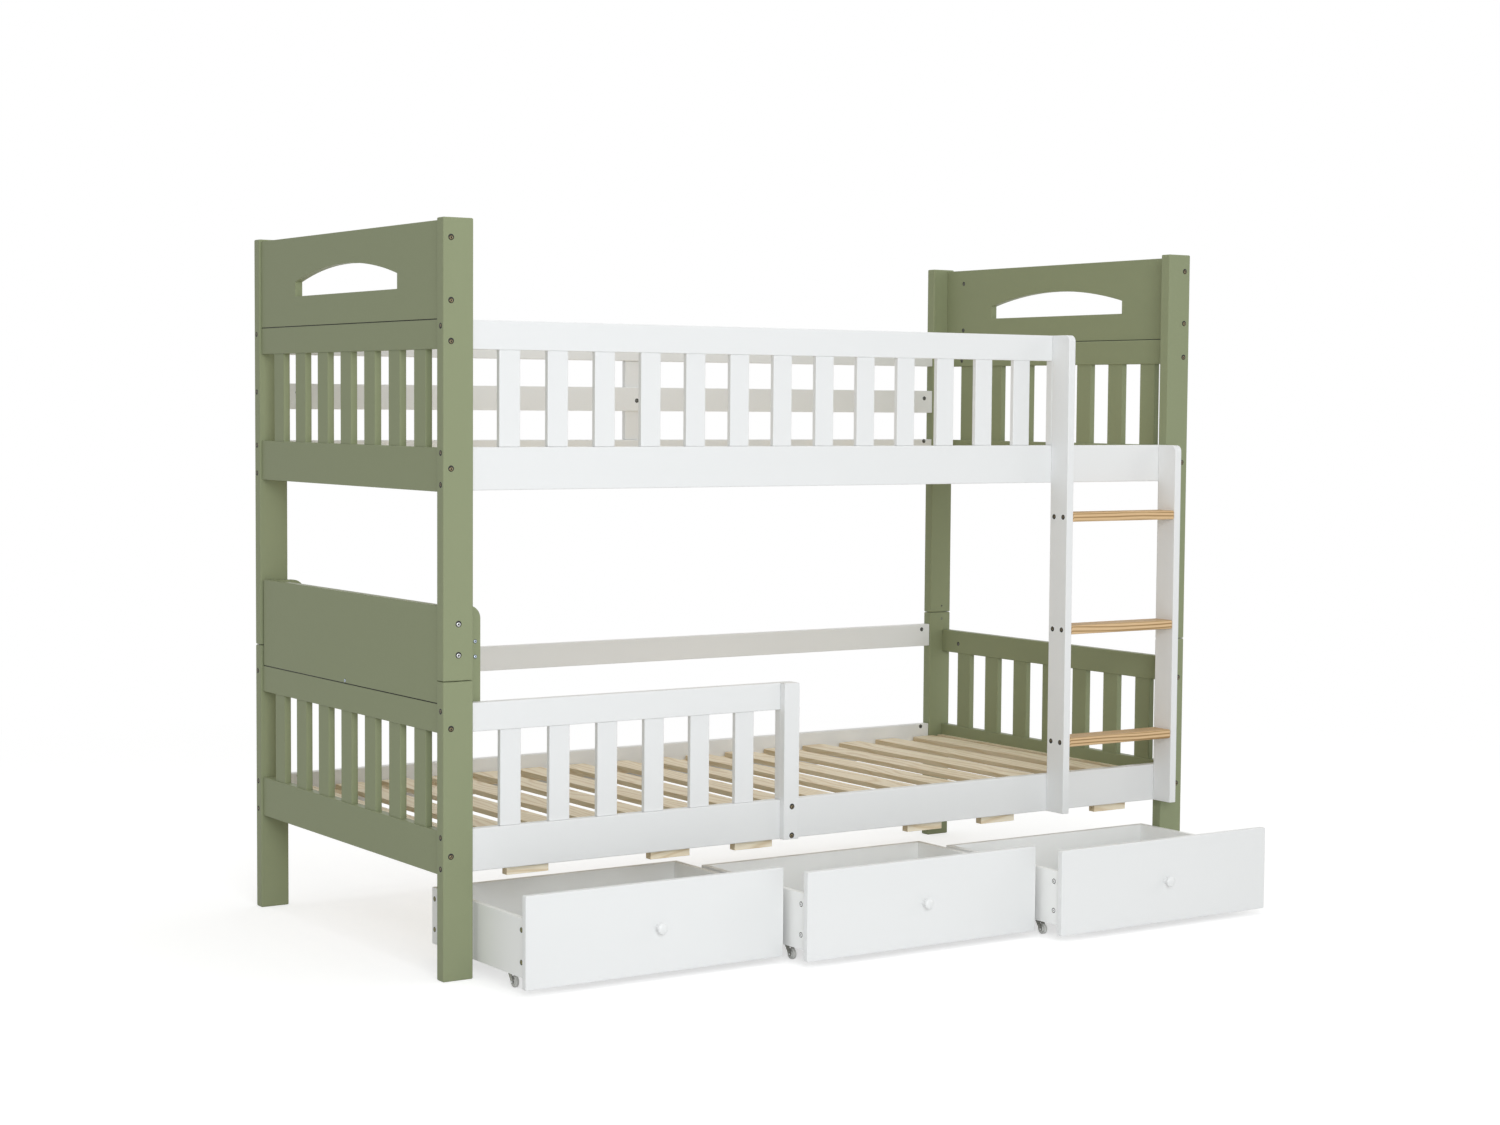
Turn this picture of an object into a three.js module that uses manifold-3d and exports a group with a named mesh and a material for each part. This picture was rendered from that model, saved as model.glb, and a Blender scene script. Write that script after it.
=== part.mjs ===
// Bunk bed: two bunks on split posts, a ladder, guard panels and three drawers on castors.
// Millimetres, +Z up, +X along the bed from its headboard end, the ladder side faces -Y.
// Pieces are drawn in the bed's corner frame: X = 0 and Y = 0 are the outer faces of the
// front left post and Z = 0 is the floor. The group that is exported moves the corner frame
// so that its origin is on the floor, in the middle of the whole with its drawers pulled out.
import * as THREE from "three";
import { mergeVertices } from "three/addons/utils/BufferGeometryUtils.js";
import Module from "manifold-3d";

// Frame
const BED_LENGTH = 2080; // over the posts
const BED_WIDTH = 980; // over the posts
const POST_WIDTH = 70; // along the bed
const POST_DEPTH = 30; // across the bed
const POST_TOP = 1590;
const POST_SPLIT = 630; // the upper posts stand on the lower ones here
const POST_EASE = 3; // radius of the posts' edges
const POST_PIN_RADIUS = 5; // locating pin between the post halves
const POST_PIN_LENGTH = 30;
const RECESS = 5; // rails and panels lie this far inside the posts' outer faces
const RAIL_THICK = 22;
const BOARD_EASE = 2; // radius of the boards' edges
const STRIP_EASE = 1; // of thin strips, blocks and the drawers' walls
const FIT = 0.3; // clearance round a piece that is let into another
const OVERCUT = 1; // that a cutting shape stands out of its mouth
const TENON = 12; // slat ends inside their rails
const ARC_STEPS = 12; // facets of a long curve

// Rails along the bed
const SIDE_RAIL_HEIGHT = 90;
const UPPER_SIDE_RAIL_BOTTOM = 1027;
const LOWER_SIDE_RAIL_BOTTOM = 227;
const GUARD_RAIL_HEIGHT = 61;
const UPPER_GUARD_RAIL_BOTTOM = 1320;
const LOWER_GUARD_RAIL_BOTTOM = 522;
const BACK_MIDDLE_RAIL_BOTTOM = 1191;
const BACK_LOWER_RAIL_BOTTOM = 537;
const CENTRE_STILE_WIDTH = 55;
const CENTRE_STILE_THICK = 16;

// Guard panels on the ladder side
const GUARD_SLAT_WIDTH = 50;
const GUARD_SLAT_THICK = 13;
const UPPER_GUARD_SLATS = 13;
const LOWER_GUARD_SLATS = 6;
const LOWER_GUARD_REACH = 782; // from the left post to the end stile
const UPPER_GUARD_STILE_WIDTH = 50;
const BATTEN_WIDTH = 41; // upright board over the end of the lower guard
const BATTEN_THICK = 17;
const BATTEN_CORNER = 4;

// End panels
const END_RAIL_HEIGHT = 61; // top rail
const END_FOOT_RAIL_HEIGHT = 92; // bottom rail
const UPPER_END_FOOT_RAIL_BOTTOM = 1024;
const LOWER_END_FOOT_RAIL_BOTTOM = 222;
const UPPER_END_RAIL_BOTTOM = 1320;
const LOWER_END_RAIL_BOTTOM = 520;
const END_SLATS = 7;
const END_SLAT_WIDTH = 55;
const END_SLAT_THICK = 16;

// Arched boards above the upper end panels
const ARCH_BOARD_THICK = 18;
const ARCH_BOARD_DROP = 5; // its top lies this far below the post tops
const ARCH_WINDOW_WIDTH = 528;
const ARCH_WINDOW_LIFT = 69; // from the foot of the board
const ARCH_WINDOW_SIDE = 33; // straight height at each end
const ARCH_WINDOW_RISE = 32; // of the curve above those ends

// Headboard panel and the brackets that tie the post halves at that end
const HEADBOARD_HEIGHT = 206;
const HEADBOARD_GAP = 6; // to the posts
const BRACKET_REACH = 76; // along the bed, from the headboard
const BRACKET_THICK = 22;
const BRACKET_BOTTOM = 525;
const BRACKET_TOP = 785;
const BRACKET_CORNER = 28;

// Ladder
const LADDER_STILE_THICK = 20;
const LADDER_DEPTH = 62;
const LADDER_CLEAR_WIDTH = 329; // between the stiles
const LADDER_POST_GAP = 2; // to the right front post
const LADDER_CORNER = 15;
const RUNG_THICK = 22;
const RUNG_EASE = 4;
const RUNG_HEIGHTS = { lower: 400, middle: 673, upper: 945 }; // of the rungs' centres

// Slat bases
const BASE_SLATS = 16;
const BASE_SLAT_WIDTH = 72;
const BASE_SLAT_THICK = 12;
const BASE_SLAT_END_GAP = 3; // slat ends to the posts' inner faces
const BASE_MARGIN = 62; // from the bed's end to the first slat
const BASE_DROP = 33; // slats' top below the side rail's top
const LEDGER = 20; // square strip that carries the slats
const END_CLEAT = 16; // strip along the end panels
const STOP_LENGTH = 102; // pine blocks that the drawer fronts close against
const STOP_BOTTOM = 207;
const STOP_OFFSETS = [244, 466, 825]; // of their centres, each way from the bed's middle

// Drawers
const DRAWER_GAP = 8; // between fronts, and between fronts and posts
const DRAWER_PULLS = [214, 293, 375]; // how far each front stands out from the bed
const FRONT_HEIGHT = 195;
const FRONT_THICK = 16;
const FRONT_LIFT = 14; // above the floor
const FRONT_CORNER = 3;
const BOX_INSET = 5; // box narrower than its front, each side
const BOX_HEIGHT = 124;
const BOX_DEPTH = 414;
const BOX_WALL = 12;
const BOX_HOUSING = 4; // ends of the cross walls let into the side walls
const BOTTOM_THICK = 9;
const KNOB_RADIUS = 12;
const KNOB_LENGTH = 21;
const KNOB_FOOT_RADIUS = 8;
const KNOB_WAIST_RADIUS = 5;
const KNOB_SHOULDER_RADIUS = 10.5; // where the neck meets the head
const KNOB_CROWN_RADIUS = 11; // that the head's curve heads for at its face
const KNOB_HEAD_LENGTH = 11;

// Castors
const WHEEL_RADIUS = 12.5;
const WHEEL_WIDTH = 9;
const WHEEL_ROUNDING = 2.5; // tread edges
const WEB_RECESS = 1.5; // of the web between hub and tread, each side
const HUB_WALL = 3; // round the bore
const HUB_SLOPE = 1; // from the hub's face down to the web
const AXLE_RADIUS = 2;
const AXLE_END = 1; // that the axle stands out of each cheek
const CASTOR_TRAIL = 10; // wheel centre ahead of the swivel axis
const CASTOR_SIDE_INSET = 24; // swivel axis from the side of the box
const CASTOR_END_INSET = 93; // swivel axis from the front and back of the box
const PLATE_LENGTH = 36;
const PLATE_WIDTH = 30;
const PLATE_THICK = 2;
const SWIVEL_RADIUS = 9;
const SWIVEL_HEIGHT = 4;
const FORK_THICK = 1.5;
const FORK_GAP = 1; // between a cheek and the wheel
const FORK_HEADROOM = 3; // between the crown and the tread
const FORK_FOOT_RADIUS = 5;
const FORK_FOOT_END = 1.85 * Math.PI; // where the foot's round runs into the cheek's back edge

// Values that follow from the driving sizes
const FRONT_Y = RECESS; // outer face of the rails on the ladder side
const FRONT_INNER_Y = RECESS + RAIL_THICK;
const BACK_Y = BED_WIDTH - RECESS;
const BACK_INNER_Y = BACK_Y - RAIL_THICK;
const LEFT_INNER_X = RECESS + RAIL_THICK;
const RIGHT_X = BED_LENGTH - RECESS;
const RIGHT_INNER_X = RIGHT_X - RAIL_THICK;
const BAY_START = POST_WIDTH; // clear length between the posts
const BAY_END = BED_LENGTH - POST_WIDTH;
const ACROSS_START = POST_DEPTH; // clear width between the posts
const ACROSS_END = BED_WIDTH - POST_DEPTH;
const UPPER_SIDE_RAIL_TOP = UPPER_SIDE_RAIL_BOTTOM + SIDE_RAIL_HEIGHT;
const LOWER_SIDE_RAIL_TOP = LOWER_SIDE_RAIL_BOTTOM + SIDE_RAIL_HEIGHT;
const UPPER_GUARD_TOP = UPPER_GUARD_RAIL_BOTTOM + GUARD_RAIL_HEIGHT;
const LOWER_GUARD_TOP = LOWER_GUARD_RAIL_BOTTOM + GUARD_RAIL_HEIGHT;
const LADDER_RIGHT_X = BAY_END - LADDER_POST_GAP;
const LADDER_LEFT_X = LADDER_RIGHT_X - 2 * LADDER_STILE_THICK - LADDER_CLEAR_WIDTH;
const LADDER_FRONT_Y = FRONT_Y - LADDER_DEPTH;
const CASTOR_HEIGHT =
  2 * WHEEL_RADIUS + FORK_HEADROOM + FORK_THICK + SWIVEL_HEIGHT + PLATE_THICK;
const DRAWER_COUNT = DRAWER_PULLS.length;
const FRONT_WIDTH =
  (BAY_END - BAY_START - (DRAWER_COUNT + 1) * DRAWER_GAP) / DRAWER_COUNT;

const wasm = await Module();
wasm.setup();

// A closed geometry as a solid that can be joined and cut.
function toSolid(geometry) {
  const bare = geometry.clone();
  bare.deleteAttribute("normal");
  bare.deleteAttribute("uv");
  const merged = mergeVertices(bare, 1e-4);
  return new wasm.Manifold(
    new wasm.Mesh({
      numProp: 3,
      vertProperties: merged.attributes.position.array,
      triVerts: new Uint32Array(merged.index.array),
    }),
  );
}

function fromSolid(solid) {
  const mesh = solid.getMesh();
  const geometry = new THREE.BufferGeometry();
  const places = new THREE.BufferAttribute(mesh.vertProperties, 3);
  geometry.setAttribute("position", places);
  geometry.setIndex(new THREE.BufferAttribute(mesh.triVerts, 1));
  geometry.computeVertexNormals();
  return geometry;
}

function join(...geometries) {
  return fromSolid(geometries.map(toSolid).reduce((a, b) => a.add(b)));
}

function cut(geometry, ...tools) {
  return fromSolid(tools.map(toSolid).reduce((a, b) => a.subtract(b), toSolid(geometry)));
}

// Turns that bring an extrusion's length, drawn along Z, onto the named axis. Each is a cyclic
// change of axes, so nothing is mirrored.
const TURNS = {
  x: new THREE.Matrix4().set(0, 0, 1, 0, 1, 0, 0, 0, 0, 1, 0, 0, 0, 0, 0, 1),
  y: new THREE.Matrix4().set(0, 1, 0, 0, 0, 0, 1, 0, 1, 0, 0, 0, 0, 0, 0, 1),
  z: new THREE.Matrix4(),
};

// A rectangle from (a, b) to (c, d) with one radius for each corner, starting at (a, b) and
// going round to (c, b), (c, d) and (a, d). A larger radius takes more steps, and one of
// 2 mm or less is a chamfer.
function roundedRectangle(a, b, c, d, radii) {
  const corners = [
    [a, b, 1, 1, Math.PI],
    [c, b, -1, 1, 1.5 * Math.PI],
    [c, d, -1, -1, 0],
    [a, d, 1, -1, 0.5 * Math.PI],
  ];
  const points = corners.flatMap(([u, v, inU, inV, start], i) => {
    const r = radii[i];
    if (r <= 0) return [new THREE.Vector2(u, v)];
    const count = Math.max(1, Math.round(Math.sqrt(r)));
    return Array.from({ length: count + 1 }, (_, k) => {
      const angle = start + (k / count) * 0.5 * Math.PI;
      return new THREE.Vector2(
        u + inU * r + r * Math.cos(angle),
        v + inV * r + r * Math.sin(angle),
      );
    });
  });
  return new THREE.Shape(points);
}

// A shape drawn across the named axis, extruded along it, with its end edges bevelled.
function extrude(shape, axis, from, to, bevel = 0) {
  const geometry = new THREE.ExtrudeGeometry(shape, {
    depth: to - from - 2 * bevel,
    bevelEnabled: bevel > 0,
    bevelThickness: bevel,
    bevelSize: bevel,
    bevelOffset: -bevel,
    bevelSegments: 1,
    curveSegments: ARC_STEPS,
  });
  return geometry.translate(0, 0, from + bevel).applyMatrix4(TURNS[axis]);
}

// A board between two corners [x, y, z], with eased long edges along the named axis.
function board(low, high, axis, ease = BOARD_EASE, endEase = 0) {
  const length = { x: 0, y: 1, z: 2 }[axis];
  const [u, v] = [(length + 1) % 3, (length + 2) % 3];
  const section = roundedRectangle(low[u], low[v], high[u], high[v], Array(4).fill(ease));
  return extrude(section, axis, low[length], high[length], endEase);
}

function cylinder(radius, axis, from, to, a, b, sides = 16) {
  const geometry = new THREE.CylinderGeometry(radius, radius, to - from, sides);
  geometry.rotateX(Math.PI / 2).translate(a, b, (from + to) / 2);
  return geometry.applyMatrix4(TURNS[axis]);
}

// Lower edges of equal strips that share the room between two places with equal gaps.
function spread(from, to, count, width) {
  const gap = (to - from - count * width) / (count + 1);
  return Array.from({ length: count }, (_, i) => from + gap + i * (width + gap));
}

const materials = {
  sage: new THREE.MeshStandardMaterial({ color: 0x8e9978, roughness: 0.55 }),
  white: new THREE.MeshStandardMaterial({ color: 0xeceeee, roughness: 0.5 }),
  pine: new THREE.MeshStandardMaterial({ color: 0xdcbf94, roughness: 0.6 }),
  wheel: new THREE.MeshStandardMaterial({ color: 0x9a9a96, roughness: 0.45 }),
};

function mesh(name, geometry, material) {
  const piece = new THREE.Mesh(geometry, materials[material]);
  piece.name = name;
  return piece;
}

// Posts: a lower and an upper half at each corner, located by a pin.
function posts() {
  const group = new THREE.Group();
  const places = {
    front_left: [0, 0],
    front_right: [BED_LENGTH - POST_WIDTH, 0],
    back_left: [0, BED_WIDTH - POST_DEPTH],
    back_right: [BED_LENGTH - POST_WIDTH, BED_WIDTH - POST_DEPTH],
  };
  for (const [corner, [x, y]] of Object.entries(places)) {
    const half = (from, to) =>
      board([x, y, from], [x + POST_WIDTH, y + POST_DEPTH, to], "z", POST_EASE, BOARD_EASE);
    const pin = (radius, from, to) =>
      cylinder(radius, "z", from, to, x + POST_WIDTH / 2, y + POST_DEPTH / 2);
    const pinFoot = POST_SPLIT - POST_PIN_LENGTH;
    const socket = pin(POST_PIN_RADIUS + FIT, pinFoot - FIT, POST_SPLIT + OVERCUT);
    const spigot = pin(POST_PIN_RADIUS, pinFoot, POST_SPLIT + POST_PIN_LENGTH);
    group.add(mesh(corner + "_lower_post", cut(half(0, POST_SPLIT), socket), "sage"));
    group.add(mesh(corner + "_upper_post", join(half(POST_SPLIT, POST_TOP), spigot), "sage"));
  }
  return group;
}

// A glued end panel: two rails with slats between them.
function endPanel(x, footBottom, railBottom) {
  const rail = (from, height) =>
    board([x, ACROSS_START, from], [x + RAIL_THICK, ACROSS_END, from + height], "y");
  const slatX = x + (RAIL_THICK - END_SLAT_THICK) / 2;
  const footTop = footBottom + END_FOOT_RAIL_HEIGHT;
  const slats = spread(ACROSS_START, ACROSS_END, END_SLATS, END_SLAT_WIDTH).map((y) =>
    board(
      [slatX, y, footTop - TENON],
      [slatX + END_SLAT_THICK, y + END_SLAT_WIDTH, railBottom + TENON],
      "z",
    ),
  );
  return join(rail(footBottom, END_FOOT_RAIL_HEIGHT), rail(railBottom, END_RAIL_HEIGHT), ...slats);
}

// The board over an upper end panel, with its arched window.
function archBoard(x) {
  const bottom = UPPER_END_RAIL_BOTTOM + END_RAIL_HEIGHT;
  const top = POST_TOP - ARCH_BOARD_DROP;
  const middle = BED_WIDTH / 2;
  const half = ARCH_WINDOW_WIDTH / 2;
  const sill = bottom + ARCH_WINDOW_LIFT;
  const spring = sill + ARCH_WINDOW_SIDE;
  const radius = (half ** 2 + ARCH_WINDOW_RISE ** 2) / (2 * ARCH_WINDOW_RISE);
  const sweep = Math.asin(half / radius);
  const window = new THREE.Path();
  window.moveTo(middle - half, sill);
  window.lineTo(middle + half, sill);
  window.lineTo(middle + half, spring);
  window.absarc(
    middle,
    spring + ARCH_WINDOW_RISE - radius,
    radius,
    Math.PI / 2 - sweep,
    Math.PI / 2 + sweep,
    false,
  );
  const outline = roundedRectangle(ACROSS_START, bottom, ACROSS_END, top, [0, 0, 0, 0]);
  outline.holes.push(window);
  return extrude(outline, "x", x, x + ARCH_BOARD_THICK, BOARD_EASE / 2);
}

function ends() {
  const group = new THREE.Group();
  const sides = { left: RECESS, right: RIGHT_INNER_X };
  for (const [side, x] of Object.entries(sides)) {
    const lower = endPanel(x, LOWER_END_FOOT_RAIL_BOTTOM, LOWER_END_RAIL_BOTTOM);
    const upper = endPanel(x, UPPER_END_FOOT_RAIL_BOTTOM, UPPER_END_RAIL_BOTTOM);
    const archX = x + (side === "left" ? 0 : RAIL_THICK - ARCH_BOARD_THICK);
    group.add(mesh(side + "_lower_end_panel", lower, "sage"));
    group.add(mesh(side + "_upper_end_panel", upper, "sage"));
    group.add(mesh(side + "_arch_board", archBoard(archX), "sage"));
  }
  return group;
}

// The solid panel that stands on the left lower end panel, and its two brackets.
function headboard() {
  const group = new THREE.Group();
  const foot = LOWER_END_RAIL_BOTTOM + END_RAIL_HEIGHT;
  const panel = board(
    [RECESS, ACROSS_START + HEADBOARD_GAP, foot],
    [LEFT_INNER_X, ACROSS_END - HEADBOARD_GAP, foot + HEADBOARD_HEIGHT],
    "y",
    BOARD_EASE,
    BOARD_EASE / 2,
  );
  group.add(mesh("headboard_panel", panel, "sage"));
  const outline = new THREE.Shape();
  const [left, right] = [LEFT_INNER_X, LEFT_INNER_X + BRACKET_REACH];
  // Drawn as (Z, X), the order that an extrusion along Y takes.
  outline.moveTo(BRACKET_BOTTOM, left);
  outline.lineTo(BRACKET_TOP, left);
  outline.lineTo(BRACKET_TOP, right - BRACKET_CORNER);
  const centre = [BRACKET_TOP - BRACKET_CORNER, right - BRACKET_CORNER];
  outline.absarc(...centre, BRACKET_CORNER, 0, Math.PI / 2, false);
  outline.lineTo(BRACKET_BOTTOM, right);
  const starts = { front: ACROSS_START, back: ACROSS_END - BRACKET_THICK };
  for (const [side, y] of Object.entries(starts)) {
    const bracket = extrude(outline, "y", y, y + BRACKET_THICK, BOARD_EASE);
    group.add(mesh(side + "_bracket", bracket, "sage"));
  }
  return group;
}

// A board of the front or back frame, between two places along the bed.
function railAlong(from, to, y, bottom, height, thick = RAIL_THICK) {
  return board([from, y, bottom], [to, y + thick, bottom + height], "x");
}

// Guard slats between a side rail's top and the guard's own top rail.
function guardSlats(from, to, count, foot, railBottom) {
  const y = FRONT_Y + (RAIL_THICK - GUARD_SLAT_THICK) / 2;
  return spread(from, to, count, GUARD_SLAT_WIDTH).map((x) =>
    board(
      [x, y, foot],
      [x + GUARD_SLAT_WIDTH, y + GUARD_SLAT_THICK, railBottom + TENON],
      "z",
    ),
  );
}

function guard(reach, stileWidth, count, foot, railBottom) {
  const stile = board(
    [reach, FRONT_Y, foot],
    [reach + stileWidth, FRONT_INNER_Y, railBottom + GUARD_RAIL_HEIGHT],
    "z",
  );
  const rail = railAlong(BAY_START, reach + TENON, FRONT_Y, railBottom, GUARD_RAIL_HEIGHT);
  return join(rail, stile, ...guardSlats(BAY_START, reach, count, foot, railBottom));
}

function upperSides() {
  const group = new THREE.Group();
  const side = (y) => railAlong(BAY_START, BAY_END, y, UPPER_SIDE_RAIL_BOTTOM, SIDE_RAIL_HEIGHT);
  group.add(mesh("upper_front_side_rail", side(FRONT_Y), "white"));
  group.add(mesh("upper_back_side_rail", side(BACK_INNER_Y), "white"));
  const panel = guard(
    LADDER_LEFT_X,
    UPPER_GUARD_STILE_WIDTH,
    UPPER_GUARD_SLATS,
    UPPER_SIDE_RAIL_TOP,
    UPPER_GUARD_RAIL_BOTTOM,
  );
  group.add(mesh("upper_front_guard", panel, "white"));
  const backRail = (bottom) =>
    railAlong(BAY_START, BAY_END, BACK_INNER_Y, bottom, GUARD_RAIL_HEIGHT);
  group.add(mesh("upper_back_top_rail", backRail(UPPER_GUARD_RAIL_BOTTOM), "white"));

  // The centre stile stands between the side rail and the top rail, let into the middle rail.
  const stileLeft = (BED_LENGTH - CENTRE_STILE_WIDTH) / 2;
  const stileFront = BACK_Y - CENTRE_STILE_THICK;
  const stile = board(
    [stileLeft, stileFront, UPPER_SIDE_RAIL_TOP],
    [stileLeft + CENTRE_STILE_WIDTH, BACK_Y, UPPER_GUARD_RAIL_BOTTOM],
    "z",
  );
  const housing = board(
    [stileLeft - FIT, stileFront - FIT, UPPER_SIDE_RAIL_TOP],
    [stileLeft + CENTRE_STILE_WIDTH + FIT, BACK_Y + RECESS, UPPER_GUARD_RAIL_BOTTOM],
    "z",
    0,
  );
  group.add(mesh("upper_back_centre_stile", stile, "white"));
  const middle = cut(backRail(BACK_MIDDLE_RAIL_BOTTOM), housing);
  group.add(mesh("upper_back_middle_rail", middle, "white"));
  return group;
}

function lowerSides() {
  const group = new THREE.Group();
  const side = (y) => railAlong(BAY_START, BAY_END, y, LOWER_SIDE_RAIL_BOTTOM, SIDE_RAIL_HEIGHT);
  group.add(mesh("lower_front_side_rail", side(FRONT_Y), "white"));
  group.add(mesh("lower_back_side_rail", side(BACK_INNER_Y), "white"));
  const back = railAlong(
    BAY_START,
    BAY_END,
    BACK_INNER_Y,
    BACK_LOWER_RAIL_BOTTOM,
    GUARD_RAIL_HEIGHT,
  );
  group.add(mesh("lower_back_rail", back, "white"));
  const reach = BAY_START + LOWER_GUARD_REACH;
  const panel = guard(
    reach,
    BATTEN_WIDTH,
    LOWER_GUARD_SLATS,
    LOWER_SIDE_RAIL_TOP,
    LOWER_GUARD_RAIL_BOTTOM,
  );
  group.add(mesh("lower_front_guard", panel, "white"));
  // Drawn as (Z, X): the batten laps the guard's stile and the side rail, its top corner rounded.
  const outline = roundedRectangle(
    LOWER_SIDE_RAIL_BOTTOM,
    reach,
    LOWER_GUARD_TOP,
    reach + BATTEN_WIDTH,
    [0, 0, BATTEN_CORNER, 0],
  );
  const batten = extrude(outline, "y", FRONT_Y - BATTEN_THICK, FRONT_Y, BOARD_EASE / 2);
  group.add(mesh("lower_guard_batten", batten, "white"));
  return group;
}

// The ladder: two stiles fixed to the rails' faces and three rungs between them.
function ladder() {
  const group = new THREE.Group();
  const stile = (x, top) => {
    const outline = roundedRectangle(
      LADDER_FRONT_Y,
      LOWER_SIDE_RAIL_BOTTOM,
      FRONT_Y,
      top,
      [0, 0, 0, LADDER_CORNER],
    );
    return extrude(outline, "x", x, x + LADDER_STILE_THICK, BOARD_EASE);
  };
  const rightX = LADDER_RIGHT_X - LADDER_STILE_THICK;
  group.add(mesh("ladder_left_stile", stile(LADDER_LEFT_X, UPPER_GUARD_TOP), "white"));
  group.add(mesh("ladder_right_stile", stile(rightX, UPPER_SIDE_RAIL_TOP), "white"));
  for (const [level, centre] of Object.entries(RUNG_HEIGHTS)) {
    const rung = board(
      [LADDER_LEFT_X + LADDER_STILE_THICK, LADDER_FRONT_Y, centre - RUNG_THICK / 2],
      [rightX, FRONT_Y, centre + RUNG_THICK / 2],
      "x",
      RUNG_EASE,
    );
    group.add(mesh("ladder_" + level + "_rung", rung, "pine"));
  }
  return group;
}

// Slats on two ledgers that run along the side rails, notched round the posts, with a cleat
// along each end panel.
function slatBase(railTop, extras = []) {
  const slatTop = railTop - BASE_DROP;
  const ledgerTop = slatTop - BASE_SLAT_THICK;
  const ledgerBottom = ledgerTop - LEDGER;
  const lastSlat = BED_LENGTH - BASE_MARGIN - BASE_SLAT_WIDTH;
  const pitch = (lastSlat - BASE_MARGIN) / (BASE_SLATS - 1);
  const slats = Array.from({ length: BASE_SLATS }, (_, i) => {
    const x = BASE_MARGIN + i * pitch;
    return board(
      [x, ACROSS_START + BASE_SLAT_END_GAP, ledgerTop],
      [x + BASE_SLAT_WIDTH, ACROSS_END - BASE_SLAT_END_GAP, slatTop],
      "y",
    );
  });
  const ledgers = [
    [FRONT_INNER_Y, FRONT_INNER_Y + LEDGER, ACROSS_START + FIT, FRONT_INNER_Y + LEDGER],
    [BACK_INNER_Y - LEDGER, BACK_INNER_Y, BACK_INNER_Y - LEDGER, ACROSS_END - FIT],
  ].flatMap(([near, far, slimNear, slimFar]) => [
    board([BAY_START + FIT, near, ledgerBottom], [BAY_END - FIT, far, ledgerTop], "x", 0),
    board([LEFT_INNER_X, slimNear, ledgerBottom], [RIGHT_INNER_X, slimFar, ledgerTop], "x", 0),
  ]);
  const cleats = [LEFT_INNER_X, RIGHT_INNER_X - END_CLEAT].map((x) =>
    board(
      [x, ACROSS_START + BASE_SLAT_END_GAP, ledgerBottom],
      [x + END_CLEAT, ACROSS_END - BASE_SLAT_END_GAP, slatTop],
      "y",
      STRIP_EASE,
    ),
  );
  return join(...ledgers, ...cleats, ...slats, ...extras);
}

// Blocks under the front ledger of the lower base that stop the drawer fronts.
function drawerStops() {
  const top = LOWER_SIDE_RAIL_TOP - BASE_DROP - BASE_SLAT_THICK - LEDGER / 2;
  return STOP_OFFSETS.flatMap((offset) => [-offset, offset]).map((offset) => {
    const x = BED_LENGTH / 2 + offset - STOP_LENGTH / 2;
    return board(
      [x, FRONT_INNER_Y, STOP_BOTTOM],
      [x + STOP_LENGTH, FRONT_INNER_Y + LEDGER, top],
      "x",
      STRIP_EASE,
    );
  });
}

function slatBases() {
  const group = new THREE.Group();
  group.add(mesh("upper_slat_base", slatBase(UPPER_SIDE_RAIL_TOP), "pine"));
  group.add(mesh("lower_slat_base", slatBase(LOWER_SIDE_RAIL_TOP, drawerStops()), "pine"));
  return group;
}

// A drawer's frame has its origin on the floor, at the left end of the front's outer face.
// The castor body: a fixed plate, the swivel, and a fork whose axle carries the wheel.
function castorBody(x, y) {
  const plateTop = CASTOR_HEIGHT;
  const plate = board(
    [x - PLATE_WIDTH / 2, y - PLATE_LENGTH / 2, plateTop - PLATE_THICK],
    [x + PLATE_WIDTH / 2, y + PLATE_LENGTH / 2, plateTop],
    "z",
  );
  const crownTop = plateTop - PLATE_THICK - SWIVEL_HEIGHT;
  const rivetTop = plateTop + BOTTOM_THICK / 2; // the swivel is riveted into the drawer's bottom
  const swivel = cylinder(SWIVEL_RADIUS, "z", crownTop - FORK_THICK / 2, rivetTop, x, y, 10);
  const wheelY = y - CASTOR_TRAIL;
  const cheekX = WHEEL_WIDTH / 2 + FORK_GAP;
  const crown = board(
    [x - cheekX - FORK_THICK, y - SWIVEL_RADIUS, crownTop - FORK_THICK],
    [x + cheekX + FORK_THICK, y + SWIVEL_RADIUS, crownTop],
    "z",
    0,
  );
  // The cheek, drawn as (Y, Z): broad at the crown, narrowing to a round foot at the axle.
  const cheek = new THREE.Shape();
  cheek.moveTo(wheelY - FORK_FOOT_RADIUS, WHEEL_RADIUS);
  cheek.absarc(wheelY, WHEEL_RADIUS, FORK_FOOT_RADIUS, Math.PI, FORK_FOOT_END, false);
  cheek.lineTo(y + SWIVEL_RADIUS - FORK_THICK, crownTop - FORK_THICK / 2);
  cheek.lineTo(y - SWIVEL_RADIUS + FORK_THICK, crownTop - FORK_THICK / 2);
  const cheeks = [x - cheekX - FORK_THICK, x + cheekX].map((from) =>
    new THREE.ExtrudeGeometry(cheek, { depth: FORK_THICK, bevelEnabled: false, curveSegments: 4 })
      .translate(0, 0, from)
      .applyMatrix4(TURNS.x),
  );
  const axleReach = cheekX + FORK_THICK + AXLE_END;
  const axle = cylinder(AXLE_RADIUS, "x", x - axleReach, x + axleReach, wheelY, WHEEL_RADIUS, 8);
  return join(plate, swivel, crown, ...cheeks, axle);
}

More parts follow.
